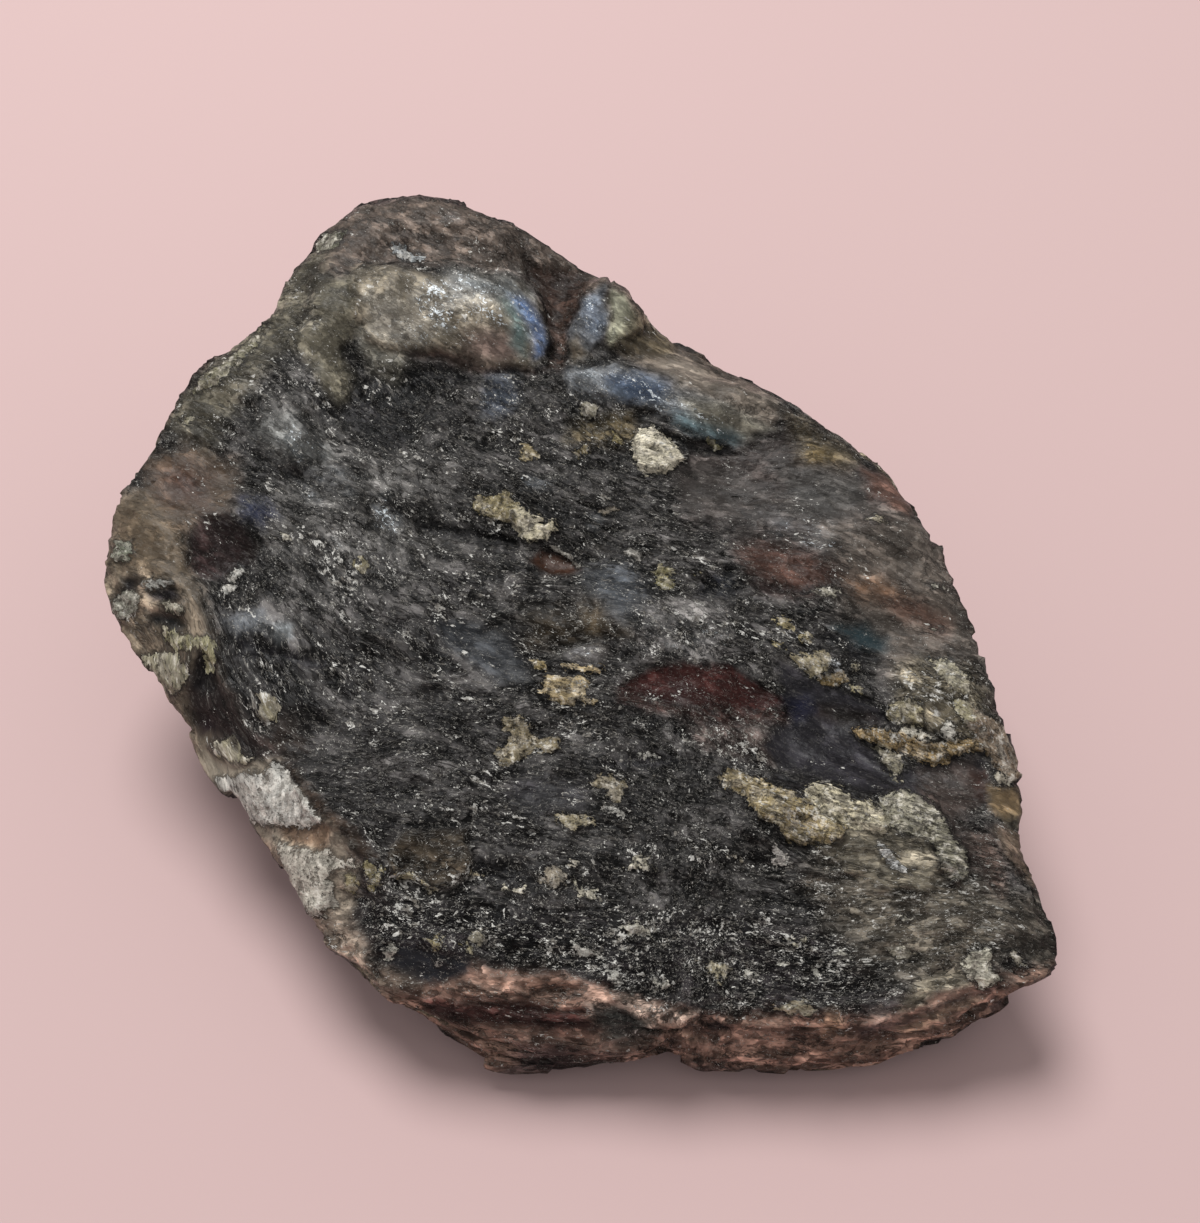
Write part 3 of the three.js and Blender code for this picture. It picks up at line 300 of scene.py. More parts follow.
# Flakes and veins of pale feldspar with crumbly edges: colour, height above the face, outline.
PALE_FLAKES = [
    ("e8dfc6", 0.5, [(8.6, 15.8), (9.2, 16.7), (11, 16.7), (12.6, 14.9), (14, 13.8), (14.6, 12.9),
        (12.2, 11.2), (10, 10.8), (9, 11.2), (8.3, 12.6)]),
    ("d9d6cc", 0.5, [(13.4, 13.2), (14.3, 13.6), (14.5, 12.6), (13.7, 12.4)]),
    ("a29370", 0.3, [(-4.3, 15), (-3.2, 14.8), (-2.1, 13.3), (-3, 12.9), (-3.7, 12), (-4.4, 12.6)]),
    ("908a78", 0.4, [(1.8, 20.7), (3, 20.5), (4.3, 19.8), (4.1, 18.8), (3.2, 18.2), (2.2, 18.9)]),
    ("85795c", 0.2, [(1.8, 14.2), (2.8, 14.9), (3.8, 14.3), (2.8, 13.7), (2, 13.2)]),
    ("978a62", 0.2, [(5.8, 16.2), (6.8, 15.6), (7.4, 14.6), (6, 14.6)]),
    ("8d8867", 0.3, [(16.3, 16), (17.6, 16), (18.5, 14.9), (17.4, 14.6)]),
    ("9c906e", 0.4, [(-9.6, 8.4), (-6, 8.8), (-4.8, 7.6), (-4.6, 5), (-6.2, 5.6), (-8, 6),
        (-9.6, 6.6)]),
    ("d2c8ac", 0.5, [(-5.2, 7.6), (-3.6, 6.7), (-1.9, 6.3), (-1.7, 5.6), (-3.2, 5.6), (-1.6, 5.2),
        (-0.2, 5.6), (-0.1, 4.4), (-1, 3.3), (-2.6, 2.7), (-4.3, 3.2), (-5, 4.4), (-5.8, 6)]),
    ("948a7a", 0.2, [(4, 6), (5.6, 7.1), (6.3, 6.8), (5.3, 5.9)]),
    ("8a857d", 0.2, [(-0.9, 2.7), (0, 2.4), (1.2, 1.2), (2.6, 0.1), (2, 0.1), (0.2, 1.4)]),
    ("8f8c86", 0.3, [(7.4, 1.5), (8, 2.3), (9, 1.3), (8.2, 0.5)]),
    ("928a66", 0.3, [(10.1, -0.5), (11, 0), (12.5, -0.3), (13.1, -1), (12, -1.4), (13, -2.2),
        (12.4, -3), (11, -2.8), (10.8, -1.6)]),
    ("9a8f6c", 0.3, [(14.5, -1.4), (15.2, -1.1), (15, -1.7)]),
    ("b5a77f", 0.3, [(23.2, -6.5), (24.4, -6.4), (25.5, -7.4), (24.2, -7.7)]),
    ("a3966f", 0.3, [(26, -8.1), (27, -8), (27.7, -8.9), (26.5, -9)]),
    ("a3966f", 0.3, [(23.4, -8.9), (24.4, -9), (25.1, -9.6), (24, -9.8)]),
    ("a89c7e", 0.3, [(24.9, -10.3), (27, -10.1), (28.8, -10.1), (29.4, -11), (28.5, -12.1),
        (27.4, -12.4), (26, -11.6)]),
    ("f4f8fb", 0.5, [(29.2, -10.9), (29.8, -10.7), (30.2, -11.2), (29.8, -11.7), (29.3, -11.6)]),
    ("7d6a48", 0.2, [(28.4, -12.4), (30.8, -11.8), (30.8, -13.4), (29, -13.9), (28, -13.4)]),
    ("a39a83", 0.3, [(31.2, -11.1), (32.6, -11.4), (32.5, -12.1), (31.4, -12)]),
    ("a09675", 0.3, [(30.6, -13.3), (31.4, -13.8), (32.3, -13.7), (32.1, -14.3), (31, -14.2)]),
    ("959082", 0.2, [(27.4, -2.4), (29, -2.7), (30.9, -3.2), (30.2, -4), (28.8, -3.6)]),
    ("a39a84", 0.3, [(34.1, 5.9), (35.6, 5.9), (36.5, 5), (35, 5.1)]),
    # round the maroon lens
    ("cfb98f", 0.5, [(0.6, -11.3), (1.8, -11.7), (3.2, -11.7), (4.4, -11.4), (5.1, -11.7),
        (4, -12.3), (2.6, -12.6), (1, -12.1)]),
    ("96855f", 0.2, [(-3.2, -10.5), (-1.6, -10.8), (-1.2, -11.8), (-2.6, -11.6)]),
    ("b5a27d", 0.4, [(-1, -12.4), (0, -12.3), (1.2, -13), (2.4, -12.8), (3.3, -13.6), (2.7, -15.2),
        (4.4, -15.6), (3, -16.2), (1.6, -15.3), (1.5, -16.2), (0.5, -16), (-0.8, -15.2),
        (-1.9, -14.2)]),
    ("93876d", 0.4, [(-5.6, -16.9), (-4.2, -16.9), (-3.2, -18.2), (-2.2, -19.8), (0.2, -19.7),
        (0.3, -20.8), (-1, -21.2), (-2.2, -21), (-3.2, -21.8), (-5.8, -22.3), (-6.3, -21),
        (-5.4, -20.4), (-5, -18.8), (-5.9, -18)]),
    ("978c74", 0.3, [(3.2, -24.6), (4.4, -23.2), (5.4, -23.3), (6.9, -23.9), (7.1, -25.2),
        (6.6, -26.4), (5.6, -26.4), (5.2, -25.2), (4.2, -24.8)]),
    ("c9c7c0", 0.3, [(4.7, -26.1), (5.8, -26.8), (6.8, -27.3), (7.9, -27.7), (7.2, -28.3),
        (6.6, -27.7), (5, -27.4)]),
    ("a59a7f", 0.3, [(-0.7, -28), (1.2, -27.5), (2.6, -27.3), (3.8, -28), (3.6, -28.6),
        (2.2, -28.9), (1.4, -29.5), (0.6, -28.6)]),
    ("b9b6ad", 0.2, [(8.2, -20.8), (9, -21.2), (10.9, -21.3), (10, -21.9), (8.6, -21.8)]),
    ("9d9382", 0.3, [(-1.1, -33.2), (0, -33), (1.3, -34), (0.8, -34.7), (-2.1, -34.5),
        (-0.8, -34)]),
    ("b1aa9a", 0.2, [(1, -32.3), (2, -32.3), (1.7, -33.4)]),
    ("bfb9a4", 0.4, [(1.7, -34.1), (2.6, -35), (3.6, -35), (4.5, -36.4), (3.2, -36.1),
        (2.1, -35.3)]),
    ("c3bca8", 0.3, [(7, -32.8), (8.1, -32.2), (8.4, -31.5), (9, -31.8), (9.7, -31.4), (9.4, -32.2),
        (10.1, -33.3), (9, -33), (8.3, -32.6)]),
    ("b8b2ac", 0.3, [(21.5, -30.2), (22.6, -31), (24, -31.9), (24.3, -33), (22.6, -32.7),
        (21.5, -32.3), (22.5, -31.9)]),
    ("9a9180", 0.2, [(17.6, -31.8), (18.9, -32.2), (18.6, -32.6)]),
    # the two plates below the slate facet
    ("a3936f", 0.8, [(16.8, -24.1), (18, -23.1), (19.1, -22.7), (19.8, -23.7), (22, -24.5),
        (25, -25), (27, -26.2), (28.4, -28), (30, -29.2), (28.4, -30.6), (26, -30.7), (23.8, -30.1),
        (22.3, -28.6), (21, -28), (20.6, -27), (19.4, -26.1), (17.2, -24.9)]),
    ("d2c8ab", 0.9, [(25.1, -24.8), (26.2, -23.9), (28.2, -24.1), (29.6, -25.2), (33, -26.4),
        (34.4, -28), (33.8, -30.2), (31.4, -29.6), (30, -28.9), (28.4, -28.2), (27.4, -27.2),
        (26.6, -26)]),
    ("9d9885", 0.7, [(33, -26), (36, -25.2), (38.2, -26), (40, -28.4), (41.3, -31.4), (41.7, -34),
        (40, -34.6), (39.2, -31.8), (38.2, -29.8), (35.6, -29.4), (33.8, -28.6)]),
    ("c4c4c2", 0.4, [(33, -30.6), (34.4, -31.5), (35.2, -32.7), (36.8, -33.1), (35.6, -33.7),
        (34.4, -33.1), (33.3, -31.8)]),
    # the right edge's fibrous veins
    ("a89069", 0.6, [(31.3, -18.7), (34, -18.4), (36.5, -18.8), (39.5, -19.7), (42, -20),
        (45, -20.1), (45, -21), (42, -21.4), (40.6, -22.4), (38.6, -22), (36, -21), (33.4, -20.3),
        (31.7, -19.9)]),
    ("bdb295", 0.3, [(31.4, -18.9), (32.4, -18.8), (33.2, -19.6), (32.8, -20), (31.8, -19.8)]),
    ("a9a18b", 0.3, [(32.8, -20.4), (34, -21), (35.9, -21.1), (35.8, -23), (35.3, -24.2),
        (34.2, -22.6), (33.3, -21.4)]),
    ("c2bdae", 0.4, [(35.4, -18.3), (37.5, -18.3), (39.8, -19.3), (38.6, -19.5), (36.4, -18.9)]),
    ("cfcbc0", 0.5, [(40, -18.6), (41.5, -17.9), (42.4, -19), (41.8, -20), (40, -19.4)]),
    ("a2987a", 0.4, [(35.4, -15.6), (37.5, -14.7), (38.4, -16), (38.2, -17.6), (36.4, -17.7),
        (34.9, -17)]),
    ("afa78f", 0.4, [(39.9, -10.9), (41.8, -10.7), (43.9, -12.8), (43.8, -14.4), (42, -14.7),
        (41, -13)]),
    ("a8a083", 0.3, [(41.6, -15.2), (43.4, -15.6), (44.6, -17.6), (43.4, -18.2), (42, -16.6)]),
    ("8b7a67", 0.3, [(43.9, -16), (46.8, -17.6), (48.8, -22), (49.4, -24), (47.5, -24),
        (45.4, -22.4), (44.5, -20), (43.4, -18.4)]),
    ("a79f8f", 0.3, [(45.4, -22.8), (47.6, -23.4), (48, -24.2), (45.8, -24.2)]),
    ("8f8b80", 0.2, [(40.2, -2.2), (41.4, -2.4), (42.6, -3.2), (41.2, -3)]),
    ("a39e90", 0.2, [(40.3, -7.1), (41.2, -7.2), (41.3, -7.6), (40.5, -7.5)]),
    # the left edge
    ("c6c3bb", 0.4, [(-35.4, -23.3), (-33.6, -24), (-32, -23.1), (-30.6, -23.6), (-29.5, -22.5),
        (-28.4, -22.6), (-27, -24.1), (-26, -25.6), (-24.8, -27), (-24, -28.4), (-25.4, -28.8),
        (-27, -29.1), (-29, -29.2), (-31, -28.8), (-33, -27.6), (-34.8, -25.2)]),
    ("bbb5a8", 0.3, [(-28.8, -30.6), (-26.8, -31.1), (-25, -31.4), (-23.4, -30.9), (-23, -32.2),
        (-20.6, -32.6), (-20, -33.4), (-22.3, -33.3), (-23.3, -34.2), (-22.6, -35), (-21.5, -36.8),
        (-23, -37.8), (-24.6, -38.1), (-26.2, -36.6), (-27.1, -34.8), (-27.8, -32.8)]),
    ("94896a", 0.3, [(-21.4, -34.1), (-20.3, -33.9), (-19.9, -34.8), (-20.6, -35.9), (-21.3, -35)]),
    ("847b5a", 0.4, [(-19.6, -32.3), (-18.5, -32.1), (-17.5, -33), (-17.5, -34), (-17.9, -35.3),
        (-18.7, -34.7), (-19.3, -33.6)]),
    ("a89c7c", 0.4, [(-17, -32.8), (-16.3, -33.7), (-15, -33.2), (-13.6, -33.5), (-12.5, -34.5),
        (-13.8, -34), (-15, -33.8), (-16.4, -34.3)]),
    ("b3a68a", 0.3, [(-9.1, -33), (-8.3, -33.3), (-7.3, -33.8), (-8.2, -34.1), (-9.3, -33.7)]),
    ("c9c2ae", 0.3, [(-5.1, -35), (-3.5, -35), (-3.3, -35.4), (-5, -35.4)]),
    ("9e947b", 0.3, [(-12.7, -35), (-11.7, -34.8), (-11.4, -35.3), (-12.4, -35.4)]),
    ("8b836c", 0.4, [(-32.2, -14.3), (-30.6, -14.5), (-29.6, -15.2), (-29.1, -16.4), (-29.6, -17.7),
        (-30.8, -17.9), (-31.9, -17.2), (-31.4, -16.2)]),
    ("97907a", 0.3, [(-36.1, -20.2), (-34.6, -19.1), (-33.6, -19.8), (-33, -21), (-31.9, -21.6),
        (-32.4, -22.5), (-33.6, -22.1), (-35, -21.3)]),
    ("9b957f", 0.3, [(-44.6, -10.5), (-42.6, -9.7), (-40.6, -10.3), (-39.5, -12), (-40.2, -14.6),
        (-42, -14.1), (-43.9, -12)]),
    ("989273", 0.3, [(-43, -7.3), (-41, -8), (-39.4, -8.5), (-37.5, -8.3), (-36.7, -9.4),
        (-37, -12), (-37.8, -12.6), (-38.2, -10), (-40.6, -9.8)]),
    ("a49e8a", 0.3, [(-43.2, -4.5), (-41.8, -4.5), (-40.5, -5.6), (-41.2, -6.3), (-42.6, -5.4)]),
    ("8f8d80", 0.3, [(-48.8, -4), (-47, -2.7), (-45.5, -3.4), (-45.8, -5.5), (-47.4, -6.5)]),
    ("a5a49d", 0.3, [(-45.6, -1.8), (-42.3, -1.8), (-42.3, -2.5), (-45, -2.7)]),
    ("7f8271", 0.3, [(-49.6, 3), (-47.6, 3), (-47, 0.6), (-49, 0.4)]),
    ("bdbbb4", 0.4, [(-36.5, -0.9), (-35, 0.1), (-34.1, -0.4), (-35.6, -1.5)]),
    ("bdbbb4", 0.4, [(-37.1, -1.8), (-35.8, -1.8), (-35.1, -2.2), (-36.6, -3.5), (-37.3, -3)]),
    ("b7b1a2", 0.3, [(-30.7, 4.1), (-29.7, 3.9), (-29.3, 2.9), (-30.2, 2.9)]),
    ("827a5f", 0.2, [(-22.4, 1), (-21.4, 1.2), (-20.8, 0), (-21.6, -1), (-22.6, -0.4)]),
    # the rear's left rim and crest
    ("8b8670", 0.3, [(-42.6, 21.5), (-40, 22.6), (-38, 25.2), (-35.6, 28.6), (-35, 31), (-37.2, 28),
        (-39.4, 25.6), (-41.8, 24)]),
    ("8a846d", 0.3, [(-43.6, 18.4), (-42, 18.4), (-42, 17.4), (-43.4, 17.2)]),
    ("7d7c6b", 0.3, [(-31, 41.6), (-29, 43.6), (-26.4, 43.6), (-27, 41.4), (-29.4, 40.6)]),
    ("a3a7a8", 0.3, [(-21, 42.3), (-19.6, 42.1), (-17.8, 40.7), (-16, 40.1), (-17, 39.4),
        (-19.6, 39.9)]),
    # the lower band
    ("8e8776", 0.3, [(-8.8, -39.8), (-8.2, -38.7), (-7.3, -38.9), (-7, -40), (-7.6, -41),
        (-8.5, -40.4)]),
    ("bcb9ae", 0.3, [(-17, -40.8), (-15.9, -40.7), (-15.9, -41.7), (-16.9, -41.8)]),
    ("978c6b", 0.2, [(-12.9, -40.3), (-11, -40.1), (-10.6, -40.5), (-12, -40.9)]),
    ("b4a97c", 0.3, [(-9.9, -40.6), (-8.8, -40.9), (-7.9, -41.4), (-8.4, -41.9), (-9.4, -41.3)]),
    ("a3a09a", 0.2, [(-11.8, -42), (-10.8, -41.8), (-10.6, -42.6), (-11.6, -42.7)]),
    ("cfcdc4", 0.3, [(1.9, -40.4), (3.6, -40.9), (4.5, -41.2), (4.7, -41.9), (3, -41.6)]),
    ("c4c2b9", 0.3, [(5.1, -43), (6.5, -43.5), (7, -44.7), (5.6, -44.5)]),
    ("cbc6b6", 0.3, [(6.9, -39), (8.6, -39.1), (9.9, -39.8), (8.6, -40.1), (7.3, -39.6)]),
    ("b0a68b", 0.3, [(14.3, -42.1), (16, -42.3), (17.4, -43.2), (16.6, -44.1), (15.3, -43.2)]),
    ("c2beb2", 0.2, [(9.6, -44.2), (11, -44.2), (12.1, -44.6), (11, -45), (10, -44.8)]),
    ("c9c6ba", 0.2, [(18.5, -42.9), (20.1, -43), (20.1, -43.6), (19, -43.7)]),
    ("c9c6ba", 0.2, [(21.7, -42.1), (22.6, -42.2), (23.3, -43), (22.2, -42.8)]),
    ("b9b39d", 0.2, [(23.2, -40.2), (24.8, -40), (25, -40.8), (23.6, -41)]),
    ("c4c1b3", 0.2, [(27.7, -40.9), (29, -40.9), (29.8, -41.6), (28.4, -41.6)]),
    ("b9b7ad", 0.2, [(25.1, -42.8), (26, -42.9), (26, -43.8), (25.3, -43.6)]),
    ("a89f86", 0.2, [(21.7, -46.3), (24, -46.1), (25.6, -47), (24.8, -47.9), (22.5, -47.3)]),
    ("aaa596", 0.2, [(33.8, -38), (35.2, -38), (35.8, -38.5), (34.6, -38.6)]),
    ("9c9686", 0.2, [(32.6, -41), (34.4, -40.7), (35.6, -41.6), (34, -42.1)]),
    ("c6c1ae", 0.4, [(40.3, -42.4), (42, -41.3), (43.3, -41.1), (43, -43), (44.1, -44), (42.6, -45),
        (41.4, -43.9)]),
    ("8a8473", 0.2, [(45.4, -41.4), (46.4, -41.4), (46.8, -42.4), (45.8, -42.6)]),
]

# Where the pillows, the ridge and a few flakes flash, as painted sheen and painted glints in the
# colour and as a coat and a little metal: brightness, softness, outline.
SHEENS = [
    (0.75, 1.2, [(-16, 38), (-5, 37), (-3.6, 34), (-4.6, 29.6), (-14, 29.6), (-18.6, 33)]),
    (0.5, 1.2, [(-24, 35), (-20, 35), (-15, 29), (-17, 27.4), (-22, 29)]),
    (0.55, 0.8, [(-5.8, 34.6), (-3.4, 33), (-1.9, 28.6), (-2.4, 25.6), (-4.4, 25.6), (-4, 30.8)]),
    (0.6, 0.7, [(1.6, 31), (3, 35), (4.8, 35), (4.6, 30), (2.6, 28.6)]),
    (0.8, 0.9, [(0.6, 24.8), (6, 25), (12.6, 22.6), (12, 20), (6, 20.6), (1.4, 21.6)]),
    (0.5, 0.8, [(12, 21.4), (17, 19.4), (21, 16), (15, 16.4), (10, 19.4)]),
    (0.4, 0.8, [(-9.4, 24), (-5.4, 24), (-5, 19.6), (-9.4, 18.4)]),
    (0.8, 0.8, [(-21.4, 8.8), (-19, 8.6), (-17.6, 6.4), (-17.8, 4), (-20.4, 4.6)]),
    (0.7, 0.6, [(-29, 9.9), (-26.6, 9), (-26.6, 7.8), (-28.6, 8.4)]),
    (0.5, 1.2, [(-34, 18.4), (-30, 17.6), (-23, 10), (-23.6, 8.6), (-31, 13.6)]),
    (0.5, 0.6, [(-25.6, 4), (-24.4, 3.4), (-24, 1.8), (-25, 2)]),
    (0.6, 0.6, [(-4.2, 10.8), (-0.8, 10.6), (-0.8, 9.4), (-4, 9.6)]),
    (0.6, 0.5, [(3, 6), (4.4, 6), (4.2, 4), (3, 4.2)]),
    (0.6, 0.8, [(23, 6.6), (25.4, 7), (26, 4.4), (24, 3.6)]),
    (0.4, 1.0, [(26, 7), (31, 5.4), (32, 2), (27, 1.6)]),
    (0.5, 1.0, [(1, -9.2), (4.6, -9), (4.4, -11.2), (1.8, -11)]),
    (0.25, 1.4, [(9, -5.6), (18, -5.6), (18.6, -9.6), (10, -10.6)]),
    (0.5, 0.6, [(-14.6, 46.6), (-12.6, 46.2), (-12.6, 44.8), (-14.4, 45)]),
    (0.4, 0.8, [(-35.8, -5.6), (-32.6, -5), (-29, -7), (-29, -9), (-33, -7.6)]),
    (0.5, 0.8, [(40, -10.8), (42, -10.8), (43.6, -13), (42, -13.4)]),
]


# ---------------------------------------------------------------------------------------------
# Noise, in arrays of points

CORNERS = np.array([[i & 1, (i >> 1) & 1, (i >> 2) & 1] for i in range(8)])
NEIGHBOURS = np.array([[i % 3 - 1, i // 3 % 3 - 1, i // 9 - 1] for i in range(27)])


def grid_value(cells, seed):
    """A repeatable number from 0 to 1 for each whole-numbered grid point."""
    mixed = cells @ np.array([374761393, 668265263, 1440662683]) + seed * 1274126177
    mixed = (mixed ^ (mixed >> 13)) & 0x7FFFFFFF
    mixed = (mixed * 1274126177) & 0x7FFFFFFF
    return (mixed ^ (mixed >> 16)) / 0x7FFFFFFF


def noise(points, size, seed=0):
    """Smooth noise from -1 to 1 that changes over size, which is one length or three."""
    scaled = points / np.asarray(size, float)
    cells = np.floor(scaled).astype(np.int64)
    part = scaled - cells
    ease = part ** 3 * (part * (part * 6 - 15) + 10)
    total = np.zeros(len(points))
    for corner in CORNERS:
        weight = np.prod(np.where(corner == 1, ease, 1 - ease), axis=1)
        total += weight * grid_value(cells + corner, seed)
    return 2 * total - 1


def rough_noise(points, size, octaves, seed=0):
    """Noise with finer and fainter noise on top."""
    total = np.zeros(len(points))
    for octave in range(octaves):
        total += noise(points, np.asarray(size, float) / 2 ** octave, seed + octave) / 2 ** octave
    return total


def chips(points, size, seed=0):
    """For each point, its place within the nearest chip, and three numbers for that chip."""
    scaled = points / np.asarray(size, float)
    cells = np.floor(scaled).astype(np.int64)
    nearest = np.full(len(points), 1e9)
    offset = np.zeros((len(points), 3))
    owner = np.zeros((len(points), 3), np.int64)
    for step in NEIGHBOURS:
        cell = cells + step
        centre = cell + np.stack([grid_value(cell, seed + k) for k in range(3)], axis=1)
        away = scaled - centre
        distance = np.einsum("ij,ij->i", away, away)
        closer = distance < nearest
        nearest = np.where(closer, distance, nearest)
        offset[closer] = away[closer]
        owner[closer] = cell[closer]
    return offset, np.stack([grid_value(owner, seed + 7 + k) for k in range(3)], axis=1)


def ease_between(low, high, values):
    """0 up to low, 1 from high on, and a smooth rise between."""
    part = np.clip((values - low) / (high - low), 0, 1)
    return part * part * (3 - 2 * part)


def sharp_steps(values, rise):
    """What is left of values under a staircase of them: a slow slope, then a quick step back.
    rise is the share of each step that the quick part takes."""
    part = values - np.floor(values)
    return part - ease_between(1 - rise, 1, part)


# ---------------------------------------------------------------------------------------------
# Places on the stone

FAR_OUTSIDE = -6.0
FIBROUS_HEIGHT = 0.6  # pale flakes that stand at least this high are made of fibres


def depth_below_face(points):
    return FACE_HEIGHT + math.tan(FACE_TILT) * points[:, 1] - points[:, 2]


def laid_out(points):
    """Where points look to be on the flat cleavage face, as x, y and no height, with a small
    wander that breaks up the outlines laid out there."""
    clearance = (VIEW_POINT - (0, 0, FACE_HEIGHT)) @ FACE_NORMAL
    depth = depth_below_face(points) * FACE_NORMAL[2]
    share = clearance / (clearance + depth)
    places = VIEW_POINT + (points - VIEW_POINT) * share[:, None]
    places[:, 2] = 0
    wander = [rough_noise(places, 3, 3, 60), rough_noise(places, 3, 3, 63), np.zeros(len(points))]
    return places + OUTLINE_WANDER * np.stack(wander, axis=1)


def grain_places(points):
    """Points in the stone's own grain: along the flow lines, across them, and down through the
    layers. The lines run nearly level at the front and slant down to the right at the back and
    on the right."""
    x, y = points[:, 0], points[:, 1]
    back = ease_between(-14, 16, y - 0.4 * x)
    slant = 0.12 + 0.48 * back
    right = 0.17 * (x - 12 + np.hypot(x - 12, 8)) * ease_between(-46, -24, y) * (1 - back)
    across = y + slant * (x + 4) + right
    along = x - (slant + 0.2 * ease_between(6, 20, x)) * (y - 4)
    bend = 1.6 * noise(points, (22, 14, 14), 40) + 0.5 * noise(points, (7, 4, 4), 41)
    return np.stack([along, across + bend, depth_below_face(points)], axis=1)


def inside_by(places, outline):
    """How far places lie inside an outline, or outside it if negative."""
    corners = np.array(outline, float)
    low, high = corners.min(axis=0) + FAR_OUTSIDE, corners.max(axis=0) - FAR_OUTSIDE
    near = np.all((places[:, :2] > low) & (places[:, :2] < high), axis=1)
    spot = places[near, :2]
    closest = np.full(len(spot), 1e9)
    inside = np.zeros(len(spot), bool)
    for start, end in zip(corners, np.roll(corners, -1, axis=0)):
        side, away = end - start, spot - start
        share = np.clip(away @ side / (side @ side), 0, 1)
        closest = np.minimum(closest, np.linalg.norm(away - share[:, None] * side, axis=1))
        crosses = (start[1] > spot[:, 1]) != (end[1] > spot[:, 1])
        if side[1] != 0:
            inside ^= crosses & (away[:, 0] < side[0] * away[:, 1] / side[1])
    field = np.full(len(places), FAR_OUTSIDE)
    field[near] = np.where(inside, closest, np.maximum(-closest, FAR_OUTSIDE))
    return field


# ---------------------------------------------------------------------------------------------
# The stone's shape

def applied_mesh(thing):
    """A new mesh of an object with its modifiers applied."""
    graph = bpy.context.evaluated_depsgraph_get()
    return bpy.data.meshes.new_from_object(thing.evaluated_get(graph))


def modified(mesh, *modifiers):
    """The mesh changed by modifiers, each a kind and its settings."""
    draft = bpy.data.objects.new("draft", mesh)
    bpy.context.scene.collection.objects.link(draft)
    for kind, settings in modifiers:
        modifier = draft.modifiers.new(kind, kind)
        for name, value in settings.items():
            setattr(modifier, name, value)
    result = applied_mesh(draft)
    bpy.data.objects.remove(draft)
    return result


def fine_mesh_of(node):
    """The CAD node's surface, welded and smoothly subdivided."""
    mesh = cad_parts[node].data.copy()
    welded = bmesh.new()
    welded.from_mesh(mesh)
    bmesh.ops.remove_doubles(welded, verts=welded.verts, dist=WELD_WITHIN * MM)
    welded.to_mesh(mesh)
    welded.free()
    return modified(mesh, ("SUBSURF", {"levels": SUBDIVISIONS, "render_levels": SUBDIVISIONS}))


def mesh_points(mesh):
    flat = np.empty(len(mesh.vertices) * 3)
    mesh.vertices.foreach_get("co", flat)
    return flat.reshape(-1, 3) / MM - LAYOUT_SHIFT


def mesh_normals(mesh):
    flat = np.empty(len(mesh.vertices) * 3)
    mesh.vertex_normals.foreach_get("vector", flat)
    return flat.reshape(-1, 3)


def keep_values(mesh, name, values):
    """Writes one number, three numbers or a colour for each point of the mesh."""
    kind, key = {
        1: ("FLOAT", "value"),
        3: ("FLOAT_VECTOR", "vector"),
        4: ("FLOAT_COLOR", "color"),
    }[values.shape[1] if values.ndim == 2 else 1]
    attribute = mesh.attributes.new(name, kind, "POINT")
    attribute.data.foreach_set(key, values.astype(np.float32).ravel())


def kept_vectors(mesh, name):
    flat = np.empty(len(mesh.vertices) * 3, np.float32)
    mesh.attributes[name].data.foreach_get("vector", flat)
    return flat.reshape(-1, 3).astype(float)


def face_relief(points, grain, places):
    """The fine height of the broken cleavage face, along its normal."""
    wander = 0.9 * noise(points, 9, 1) + 0.35 * noise(points, 3, 2) + 0.12 * noise(points, 1, 3)
    broken = ease_between(-0.3, 0.5, noise(points, (16, 10, 10), 4))
    sheet = grain * (1, 1, 0)
    big_steps = 0.6 * broken * sharp_steps(grain[:, 1] / 3.4 + wander, 0.14)
    small_steps = 0.22 * sharp_steps(grain[:, 1] / 1.15 + 1.6 * wander, 0.2)
    striae = 0.1 * noise(sheet, (5, 0.55, 1), 5)
    lumps = 0.35 * rough_noise(points, (5, 3, 5), 3, 6)
    offset, tones = chips(sheet + 0.5 * wander[:, None], (3.6, 1.7, 1), 7)
    chip = 0.24 * (tones[:, 0] - 0.5) + 0.3 * (offset[:, 1] * (tones[:, 1] - 0.5))
    rough = np.ones(len(points))
    plates = np.zeros(len(points))
    ragged = 0.5 * rough_noise(sheet, (2.2, 1.2, 1), 3, 8)
    for code, edge, height, smooth, flecks, outline in PATCHES:
        inside = inside_by(places, outline)
        rough += ease_between(-edge, edge, inside) * (1 - smooth - rough)
        if height:
            step = 0.15 + 0.5 * edge
            plates += height * ease_between(-step, step, inside + ragged)
    for code, height, outline in PALE_FLAKES:
        plates += height * ease_between(-0.1, 0.3, inside_by(places, outline) + ragged)
    broken_relief = big_steps + small_steps + striae + chip
    return lumps * (0.35 + 0.65 * rough) + rough * broken_relief + plates


